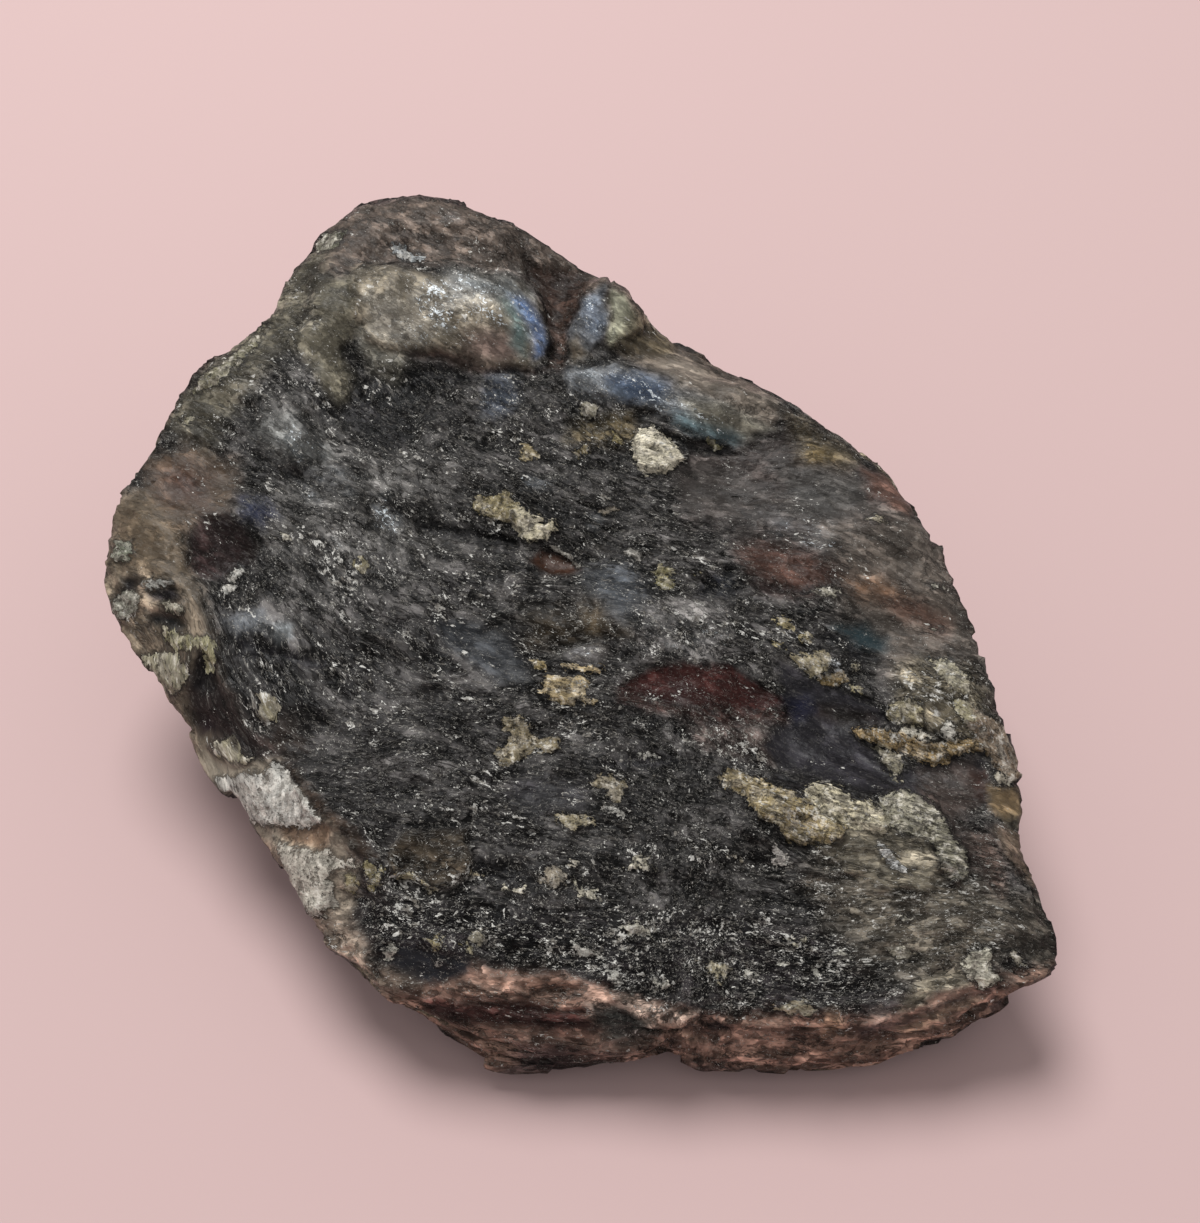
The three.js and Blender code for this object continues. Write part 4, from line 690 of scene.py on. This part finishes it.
def wall_relief(points, grain):
    """The height of the broken walls: layers that stand in and out, and blocky fracture."""
    wander = 0.7 * noise(points, (14, 14, 8), 20) + 0.3 * noise(points, (5, 5, 3), 21)
    fine_wander = wander + 0.15 * noise(points, 1.5, 22)
    strength = 0.4 + 0.6 * ease_between(-0.4, 0.4, noise(points, (18, 18, 9), 23))
    layers = 0.75 * strength * sharp_steps(grain[:, 2] / 2.6 + wander, 0.2)
    thin_layers = 0.3 * strength * sharp_steps(grain[:, 2] / 0.85 + 2 * fine_wander, 0.3)
    offset, tones = chips(points + 1.5 * wander[:, None], (11, 11, 5), 24)
    blocks = 1.0 * (tones[:, 0] - 0.5) + 0.9 * np.einsum("ij,ij->i", offset, tones - 0.5)
    offset, tones = chips(points + wander[:, None], (3.2, 3.2, 1.3), 25)
    flakes = 0.3 * (tones[:, 0] - 0.5) + 0.3 * np.einsum("ij,ij->i", offset, tones - 0.5)
    return layers + thin_layers + blocks + flakes + 0.25 * rough_noise(points, 3, 3, 26)


def carve(mesh):
    """Moves the fine mesh's points out and in by the relief, and keeps which way each faced."""
    points, normals = mesh_points(mesh), mesh_normals(mesh)
    grain, places = grain_places(points), laid_out(points)
    on_face = ease_between(0.3, 0.62, normals @ FACE_NORMAL)
    above_sole = ease_between(0.0, SOLE_BLEND, points[:, 2])
    relief = on_face * face_relief(points, grain, places)
    relief += (1 - on_face) * wall_relief(points, grain)
    pits = SOLE_PITS * np.abs(rough_noise(points, 3, 4, 50)) * (1 - above_sole)
    moved = points + normals * (relief * above_sole)[:, None]
    moved[:, 2] = np.maximum(moved[:, 2] + pits, 0)
    moved = np.clip((moved + LAYOUT_SHIFT) * MM, cad_low, cad_high)
    mesh.vertices.foreach_set("co", moved.ravel())
    keep_values(mesh, "outward", normals)
    keep_values(mesh, "relief", relief)
    mesh.update()


def thinned(mesh, most):
    """The mesh with its flatter places simplified, to at most that many triangles."""
    mesh.calc_loop_triangles()
    share = min(1.0, most / len(mesh.loop_triangles))
    return modified(mesh, ("TRIANGULATE", {}), ("DECIMATE", {"ratio": share}))


# ---------------------------------------------------------------------------------------------
# Colours and masks kept on the mesh for the material

def tone(code):
    """A colour written as six hexadecimal digits, as the linear values that shaders take."""
    parts = [int(code[i:i + 2], 16) / 255 for i in (0, 2, 4)]
    return tuple(c / 12.92 if c <= 0.04045 else ((c + 0.055) / 1.055) ** 2.4 for c in parts) + (1.0,)


def painted(under, over, amount):
    """Colours or numbers under, with over laid on by amount."""
    if np.ndim(under) == 2:
        amount = amount[:, None]
    return under + (np.asarray(over) - under) * amount


def mark(mesh):
    """Writes the grain, the stone's colour and every mask on the mesh."""
    points, outward = mesh_points(mesh), kept_vectors(mesh, "outward")
    grain, places = grain_places(points), laid_out(points)
    towards = VIEW_POINT - points
    towards /= np.linalg.norm(towards, axis=1)[:, None]
    seen = ease_between(-0.05, 0.2, np.einsum("ij,ij->i", outward, towards))
    ground = np.tile(tone("343231"), (len(points), 1))
    smooth, flecks = np.zeros(len(points)), np.full(len(points), 0.6)
    for code, edge, height, smoothness, strewn, outline in PATCHES:
        amount = ease_between(-edge, edge, inside_by(places, outline))
        ground = painted(ground, tone(code), amount)
        smooth = painted(smooth, smoothness, amount)
        flecks = painted(flecks, strewn, amount)
    pale = np.full(len(points), FAR_OUTSIDE)
    pale_tone, fibrous = np.tile(tone("9a8f78"), (len(points), 1)), np.zeros(len(points))
    for code, height, outline in PALE_FLAKES:
        inside = inside_by(places, outline)
        pale_tone[inside > pale] = tone(code)
        fibrous[inside > pale] = height >= FIBROUS_HEIGHT
        pale = np.maximum(pale, inside)
    sheen = np.zeros(len(points))
    for brightness, edge, outline in SHEENS:
        sheen = np.maximum(sheen, brightness * ease_between(-edge, edge, inside_by(places, outline)))

    # the hidden sides: layers of dark, brown, tan and pale stone
    strata = rough_noise(grain, (16, 16, 2.2), 3, 70)
    clouds = rough_noise(points, (15, 15, 9), 2, 71)
    hidden = np.tile(tone("3a3532"), (len(points), 1))
    hidden = painted(hidden, tone("54473d"), ease_between(0.0, 0.5, strata))
    hidden = painted(hidden, tone("221f20"), ease_between(0.1, 0.6, -strata))
    hidden = painted(hidden, tone("6a6150"), 0.8 * ease_between(0.3, 0.8, clouds))
    hidden = painted(hidden, tone("372a27"), 0.8 * ease_between(0.3, 0.8, -clouds))
    hidden_pale = 3 * (0.5 * (strata + clouds) - 0.5)

    ground = painted(hidden, ground, seen)
    pale = np.where(seen > 0.5, pale, hidden_pale)
    pale_tone = painted(np.tile(tone("a0947c"), (len(points), 1)), pale_tone, seen)
    keep_values(mesh, "grain", grain)
    keep_values(mesh, "tone with painted shade and sheen", ground)
    keep_values(mesh, "pale", pale)
    keep_values(mesh, "pale tone", pale_tone)
    keep_values(mesh, "fibrous", fibrous * seen)
    keep_values(mesh, "smooth", smooth * seen)
    keep_values(mesh, "flecks", painted(0.2, flecks, seen))
    keep_values(mesh, "sheen", sheen * seen)


# ---------------------------------------------------------------------------------------------
# Node helpers

class Nodes:
    """Short ways to add and join the nodes of one tree."""

    def __init__(self, tree):
        self.tree = tree

    def add(self, kind, **values):
        """A node with its properties set, and its inputs set or joined by name or number."""
        node = self.tree.nodes.new(kind)
        inputs = values.pop("inputs", {})
        for name, value in values.items():
            setattr(node, name, value)
        for name, value in inputs.items():
            self.feed(node.inputs[name], value)
        return node

    def feed(self, socket, value):
        if isinstance(value, bpy.types.NodeSocket):
            self.tree.links.new(value, socket)
        else:
            socket.default_value = value

    def math(self, operation, *values, clamp=False):
        inputs = dict(enumerate(values))
        node = self.add("ShaderNodeMath", operation=operation, use_clamp=clamp, inputs=inputs)
        return node.outputs[0]

    def vector_math(self, operation, *values, output=0):
        inputs = dict(enumerate(values))
        return self.add("ShaderNodeVectorMath", operation=operation, inputs=inputs).outputs[output]

    def rise(self, value, low, high, to_low=0.0, to_high=1.0):
        """to_low up to low, to_high from high on, and a smooth rise between."""
        inputs = {"Value": value, 1: low, 2: high, 3: to_low, 4: to_high}
        node = self.add("ShaderNodeMapRange", interpolation_type="SMOOTHSTEP", inputs=inputs)
        return node.outputs[0]

    def blend(self, amount, under, over, how="MIX"):
        node = self.add("ShaderNodeMix", data_type="RGBA", blend_type=how)
        self.feed(node.inputs["Factor"], amount)
        self.feed(node.inputs[6], under)
        self.feed(node.inputs[7], over)
        return node.outputs[2]

    def grey(self, value):
        return self.add("ShaderNodeCombineColor", inputs={0: value, 1: value, 2: value}).outputs[0]

    def kept(self, name, output="Fac"):
        """A number, vector or colour kept on the mesh."""
        return self.add("ShaderNodeAttribute", attribute_name=name).outputs[output]

    def noise(self, vector, scale=1.0, detail=3.0, roughness=0.55, distortion=0.0):
        inputs = {
            "Vector": vector,
            "Scale": scale,
            "Detail": detail,
            "Roughness": roughness,
            "Distortion": distortion,
        }
        return self.add("ShaderNodeTexNoise", inputs=inputs).outputs["Fac"]

    def along_grain(self, grain, size, stretch):
        """The grain divided by size, and by stretch times as much along the flow lines."""
        along = self.math("DIVIDE", 1.0, self.math("MULTIPLY", size, stretch))
        across = self.math("DIVIDE", 1.0, size)
        factors = self.add("ShaderNodeCombineXYZ", inputs={0: along, 1: across, 2: across})
        return self.vector_math("MULTIPLY", grain, factors.outputs[0])


FLOAT, VECTOR, COLOUR = "NodeSocketFloat", "NodeSocketVector", "NodeSocketColor"


def new_group(name, inputs, outputs):
    """A shader node group with named inputs and outputs, and its inner nodes to fill."""
    group = bpy.data.node_groups.new(name, "ShaderNodeTree")
    for socket_name, kind, value in inputs:
        socket = group.interface.new_socket(socket_name, in_out="INPUT", socket_type=kind)
        if value is not None:
            socket.default_value = value
    for socket_name, kind in outputs:
        group.interface.new_socket(socket_name, in_out="OUTPUT", socket_type=kind)
    nodes = Nodes(group)
    entry = nodes.add("NodeGroupInput")
    leave = nodes.add("NodeGroupOutput")
    return group, nodes, entry.outputs, leave.inputs


def use_group(nodes, group, **inputs):
    node = nodes.add("ShaderNodeGroup", node_tree=group)
    for name, value in inputs.items():
        nodes.feed(node.inputs[name], value)
    return node.outputs


def grain_streaks_group():
    """Streaks that run along the grain."""
    group, n, given, out = new_group(
        "grain streaks",
        [("Grain", VECTOR, None), ("Size", FLOAT, 1.0), ("Stretch", FLOAT, 4.0), ("Detail", FLOAT, 4.0)],
        [("Streaks", FLOAT)],
    )
    places = n.along_grain(given["Grain"], given["Size"], given["Stretch"])
    n.feed(out["Streaks"], n.noise(places, 1.0, given["Detail"], 0.62, 0.15))
    return group


def crumbly_rim_group():
    """Turns a field that is positive inside a flake into the flake, with a crumbly rim, and into
    the narrow gap that surrounds it, which the material darkens as painted shade."""
    group, n, given, out = new_group(
        "crumbly rim",
        [("Field", FLOAT, 0.0), ("Grain", VECTOR, None), ("Size", FLOAT, 0.8), ("Crumble", FLOAT, 1.2)],
        [("Mask", FLOAT), ("Shaded gap", FLOAT)],
    )
    places = n.along_grain(given["Grain"], given["Size"], 1.6)
    wobble = n.math("SUBTRACT", n.noise(places, 1.0, 5.0, 0.7), 0.5)
    field = n.math("MULTIPLY_ADD", wobble, given["Crumble"], given["Field"])
    n.feed(out["Mask"], n.rise(field, -0.05, 0.05))
    n.feed(out["Shaded gap"], n.rise(field, -0.6, -0.1))
    return group


def cracks_group():
    """Thin broken cracks that run along the grain."""
    group, n, given, out = new_group(
        "cracks",
        [("Grain", VECTOR, None), ("Size", FLOAT, 1.3)],
        [("Cracks", FLOAT)],
    )
    places = n.along_grain(given["Grain"], given["Size"], 3.0)
    thin = n.math("ABSOLUTE", n.math("SUBTRACT", n.noise(places, 1.0, 4.0, 0.6, 0.8), 0.5))
    broken = n.rise(n.noise(places, 0.45, 2.0, 0.5), 0.46, 0.54)
    n.feed(out["Cracks"], n.math("MULTIPLY", n.rise(thin, 0.03, 0.012), broken))
    return group


def bright_flecks_group():
    """Small broken flecks and hair-thin dashes that lie along the grain."""
    group, n, given, out = new_group(
        "bright flecks",
        [("Grain", VECTOR, None), ("Size", FLOAT, 0.3), ("Amount", FLOAT, 0.5)],
        [("Flecks", FLOAT), ("Dashes", FLOAT)],
    )
    places = n.along_grain(given["Grain"], given["Size"], 1.8)
    grit = n.noise(places, 1.0, 3.0, 0.7, 0.6)
    clumps = n.noise(places, 0.13, 3.0, 0.6)
    level = n.math("MULTIPLY_ADD", clumps, -0.65, 1.06)
    level = n.math("MULTIPLY_ADD", given["Amount"], -0.13, level)
    over = n.math("SUBTRACT", grit, level)
    n.feed(out["Flecks"], n.rise(over, 0.0, 0.022))
    hair = n.noise(places, 0.55, 2.0, 0.5, 1.2)
    thin = n.math("ABSOLUTE", n.math("SUBTRACT", hair, 0.5))
    line = n.rise(thin, 0.022, 0.008)
    broken = n.rise(n.noise(places, 0.6, 2.0, 0.6), 0.5, 0.56)
    n.feed(out["Dashes"], n.math("MULTIPLY", line, n.math("MULTIPLY", broken, given["Amount"])))
    return group


def chip_facets_group():
    """The height of small flat chips, each tilted its own way, and a number for each chip."""
    group, n, given, out = new_group(
        "chip facets",
        [("Grain", VECTOR, None), ("Size", FLOAT, 1.0), ("Stretch", FLOAT, 1.6)],
        [("Height", FLOAT), ("Tone", FLOAT)],
    )
    places = n.along_grain(given["Grain"], given["Size"], given["Stretch"])
    waver = n.add("ShaderNodeTexNoise", inputs={"Vector": places, "Scale": 1.5, "Detail": 3.0})
    places = n.vector_math("MULTIPLY_ADD", waver.outputs["Color"], (0.8, 0.8, 0.8), places)
    cells = n.add("ShaderNodeTexVoronoi", inputs={"Vector": places, "Scale": 1.0})
    away = n.vector_math("SUBTRACT", places, cells.outputs["Position"])
    tilt = n.vector_math("SUBTRACT", cells.outputs["Color"], (0.5, 0.5, 0.5))
    n.feed(out["Height"], n.vector_math("DOT_PRODUCT", away, tilt, output="Value"))
    split = n.add("ShaderNodeSeparateColor", inputs={"Color": cells.outputs["Color"]})
    n.feed(out["Tone"], split.outputs[0])
    return group


# ---------------------------------------------------------------------------------------------
# Materials

def labradorite_material():
    material = bpy.data.materials.new("labradorite")
    material.use_nodes = True
    tree = material.node_tree
    tree.nodes.clear()
    n = Nodes(tree)
    streaks, rim = grain_streaks_group(), crumbly_rim_group()
    fleck_group, facets, crack_group = bright_flecks_group(), chip_facets_group(), cracks_group()
    grain = n.kept("grain", "Vector")
    sheen, smooth = n.kept("sheen"), n.kept("smooth")
    bare = n.math("SUBTRACT", 1.0, smooth)
    coarse = use_group(n, streaks, Grain=grain, Size=1.6, Stretch=2.4, Detail=5.0)["Streaks"]
    fine = use_group(n, streaks, Grain=grain, Size=0.3, Stretch=7.0, Detail=3.0)["Streaks"]
    mottle = n.noise(grain, 1.1, 4.0, 0.65)
    small = use_group(n, facets, Grain=grain, Size=0.6, Stretch=1.7)
    large = use_group(n, facets, Grain=grain, Size=2.2, Stretch=1.6)

    # the stone under the flecks: its tone, darker in streaks and chip by chip, with painted shade in
    # hollows and in cracks
    shade = n.rise(coarse, 0.36, 0.66, 0.3, 1.7)
    shade = n.math("MULTIPLY", shade, n.math("MULTIPLY_ADD", large["Tone"], 1.2, 0.35))
    shade = n.math("MULTIPLY", shade, n.math("MULTIPLY_ADD", small["Tone"], 1.2, 0.4))
    shade = n.math("MULTIPLY", shade, n.rise(n.noise(grain, 0.2, 3.0, 0.6), 0.4, 0.6, 0.5, 1.4))
    # painted shade: darker in the relief's hollows and lighter on its rises
    shade = n.math("MULTIPLY", shade, n.rise(n.kept("relief"), -0.9, 0.9, 0.5, 1.35))
    calm = n.math("MULTIPLY", smooth, 0.85)
    shade = n.math("ADD", n.math("MULTIPLY", shade, n.math("SUBTRACT", 1.0, calm)), calm)
    # painted shade in the thin cracks, which are also cut into the bump below
    cracks = use_group(n, crack_group, Grain=grain, Size=1.3)["Cracks"]
    cracks = n.math("MULTIPLY", cracks, n.math("MULTIPLY_ADD", bare, 0.8, 0.1))
    shade = n.math("MULTIPLY", shade, n.math("MULTIPLY_ADD", cracks, -0.8, 1.0))
    colour = n.blend(1.0, n.kept("tone with painted shade and sheen", "Color"), n.grey(shade), "MULTIPLY")
    lift = n.math("MULTIPLY", n.rise(fine, 0.58, 0.66), n.math("MULTIPLY", bare, 0.22))
    colour = n.blend(lift, colour, tone("8a857e"))

    # pale feldspar with painted shade in a narrow gap round it, the thicker flakes in fibres
    flake = use_group(n, rim, Field=n.kept("pale"), Grain=grain, Size=0.6, Crumble=2.6)
    worn = n.rise(n.noise(grain, 0.9, 4.0, 0.7), 0.36, 0.46, 0.3, 1.0)
    pale = n.math("MULTIPLY", flake["Mask"], worn)
    # painted shadow: near black in the gap round each flake
    colour = n.blend(n.math("MULTIPLY", flake["Shaded gap"], 0.65), colour, tone("121010"))
    fibres = n.math("MULTIPLY_ADD", fine, 0.6, n.math("MULTIPLY", coarse, 0.4))
    fibre_shade = n.rise(fibres, 0.4, 0.6, 0.3, 1.35)
    fibre_part = n.math("MULTIPLY", n.math("MULTIPLY_ADD", n.kept("fibrous"), 0.7, 0.3), bare)
    fibre_shade = n.math("MULTIPLY_ADD", n.math("SUBTRACT", fibre_shade, 1.0), fibre_part, 1.0)
    fibre_shade = n.math("MULTIPLY", fibre_shade, n.rise(mottle, 0.35, 0.65, 0.6, 1.25))
    specks = n.rise(n.noise(grain, 3.2, 3.0, 0.7), 0.56, 0.62)
    fibre_shade = n.math("MULTIPLY", fibre_shade, n.math("MULTIPLY_ADD", specks, -0.65, 1.0))
    greyer = n.rise(small["Tone"], 0.3, 0.9, 0.0, 0.5)
    feldspar = n.blend(greyer, n.kept("pale tone", "Color"), tone("a39c92"))
    feldspar = n.blend(1.0, feldspar, n.grey(fibre_shade), "MULTIPLY")
    feldspar = n.blend(n.rise(mottle, 0.54, 0.68, 0.0, 0.6), feldspar, tone("efeadf"))
    colour = n.blend(pale, colour, feldspar)

    # flecks and dashes
    flecks = use_group(n, fleck_group, Grain=grain, Size=0.2, Amount=n.kept("flecks"))
    crumbs = use_group(n, fleck_group, Grain=grain, Size=0.55, Amount=n.kept("flecks"))
    fleck_tone = n.blend(n.rise(mottle, 0.4, 0.62), tone("7d7870"), tone("e9e7e0"))
    colour = n.blend(n.math("MULTIPLY", flecks["Flecks"], 0.9), colour, fleck_tone)
    colour = n.blend(n.math("MULTIPLY", flecks["Dashes"], 0.8), colour, tone("b9b5ac"))
    colour = n.blend(n.math("MULTIPLY", crumbs["Flecks"], 0.75), colour, fleck_tone)

    # the flash on the pillows and the ridge: painted sheen and painted glints in the colour
    painted_sheen = n.math("MULTIPLY", n.rise(coarse, 0.42, 0.66), n.math("MULTIPLY", sheen, 0.16))
    colour = n.blend(painted_sheen, colour, tone("8b9aa6"))
    painted_glitter = use_group(n, fleck_group, Grain=grain, Size=0.34, Amount=sheen)
    painted_glints = n.math("MULTIPLY", painted_glitter["Flecks"], n.rise(sheen, 0.0, 0.6, 0.0, 0.8))
    colour = n.blend(painted_glints, colour, tone("dce4e8"))

    # relief finer than the mesh
    relief = n.math("MULTIPLY_ADD", fine, 0.4, n.math("MULTIPLY", mottle, 0.5))
    relief = n.math("MULTIPLY_ADD", small["Height"], 1.1, relief)
    relief = n.math("MULTIPLY_ADD", large["Height"], 2.2, relief)
    relief = n.math("MULTIPLY_ADD", flecks["Flecks"], 0.2, relief)
    relief = n.math("MULTIPLY_ADD", cracks, -0.5, relief)
    relief = n.math("MULTIPLY", relief, n.math("MULTIPLY_ADD", bare, 0.75, 0.25))
    relief = n.math("MULTIPLY_ADD", pale, 0.5, relief)
    relief = n.math("MULTIPLY_ADD", n.math("MULTIPLY", fibres, pale), 0.6, relief)
    bump = n.add("ShaderNodeBump", inputs={"Height": relief, "Strength": 1.0, "Distance": FINE_RELIEF * MM})

    roughness = n.rise(mottle, 0.3, 0.7, 0.28, 0.56)
    roughness = n.math("MULTIPLY_ADD", pale, 0.15, roughness)
    roughness = n.math("MULTIPLY_ADD", sheen, -0.12, roughness)
    coat = n.math("MAXIMUM", n.math("MULTIPLY", smooth, 0.1), n.math("MULTIPLY", sheen, 0.35), clamp=True)

    shader = n.add("ShaderNodeBsdfPrincipled")
    n.feed(shader.inputs["Base Color"], colour)
    n.feed(shader.inputs["Roughness"], roughness)
    n.feed(shader.inputs["Metallic"], n.math("MULTIPLY", sheen, 0.25))
    n.feed(shader.inputs["Coat Weight"], coat)
    n.feed(shader.inputs["Normal"], bump.outputs["Normal"])
    shader.inputs["IOR"].default_value = 1.45
    shader.inputs["Specular IOR Level"].default_value = 0.14
    shader.inputs["Coat Roughness"].default_value = 0.3
    n.add("ShaderNodeOutputMaterial", inputs={"Surface": shader.outputs[0]})
    return material


def floor_material():
    material = bpy.data.materials.new("pale pink paper")
    material.use_nodes = True
    shader = material.node_tree.nodes["Principled BSDF"]
    shader.inputs["Base Color"].default_value = tone("c9aeac")
    shader.inputs["Roughness"].default_value = 0.9
    shader.inputs["Specular IOR Level"].default_value = 0.1
    return material


# ---------------------------------------------------------------------------------------------
# The stone, the floor, the light and the camera

def make_stone():
    mesh = fine_mesh_of(STONE_NODE)
    carve(mesh)
    mesh = thinned(mesh, MOST_TRIANGLES)
    mesh.name = "labradorite_stone"
    mark(mesh)
    mesh.shade_smooth()
    mesh.materials.clear()
    mesh.materials.append(labradorite_material())
    stone = bpy.data.objects.new("labradorite_stone", mesh)
    bpy.context.scene.collection.objects.link(stone)
    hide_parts(STONE_NODE)
    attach(stone, "root")


def make_floor():
    half_m = 1.5
    corners = [(-half_m, -half_m, 0), (half_m, -half_m, 0), (half_m, half_m, 0), (-half_m, half_m, 0)]
    mesh = bpy.data.meshes.new("floor")
    mesh.from_pydata(corners, [], [(0, 1, 2, 3)])
    mesh.materials.append(floor_material())
    floor = bpy.data.objects.new("floor", mesh)
    bpy.context.scene.collection.objects.link(floor)


def aim(thing, place_m, target_m):
    thing.location = place_m
    thing.rotation_mode = "QUATERNION"
    thing.rotation_quaternion = (Vector(target_m) - Vector(place_m)).to_track_quat("-Z", "Y")


def make_light(name, place_m, size_m, watts):
    """A round lamp that points at the stone."""
    data = bpy.data.lights.new(name, "AREA")
    data.shape = "DISK"
    data.size = size_m
    data.energy = watts
    light = bpy.data.objects.new(name, data)
    bpy.context.scene.collection.objects.link(light)
    aim(light, place_m, (0, 0, 0.02))


def make_lights():
    """A large soft lamp above and behind the stone, and even light from the room."""
    make_light("window", place_m=(-0.2, 0.42, 0.97), size_m=0.6, watts=10.8)
    world = bpy.data.worlds.new("room")
    world.use_nodes = True
    background = world.node_tree.nodes["Background"]
    background.inputs["Color"].default_value = (1.0, 0.98, 0.98, 1)
    background.inputs["Strength"].default_value = 0.46
    bpy.context.scene.world = world


def make_camera():
    """The camera looks along +Y and 50 degrees down."""
    elevation = math.radians(50)
    distance_m = 0.185
    target_m = Vector((0.0047, -0.0057, 0.024))
    back = Vector((0, -math.cos(elevation), math.sin(elevation)))
    data = bpy.data.cameras.new("camera")
    data.lens = 50
    data.sensor_width = 36
    data.clip_start = 0.01
    camera = bpy.data.objects.new("camera", data)
    bpy.context.scene.collection.objects.link(camera)
    aim(camera, target_m + back * distance_m, target_m)
    bpy.context.scene.camera = camera


make_camera()
make_lights()
make_floor()
make_stone()
bpy.context.scene.view_settings.view_transform = "Standard"
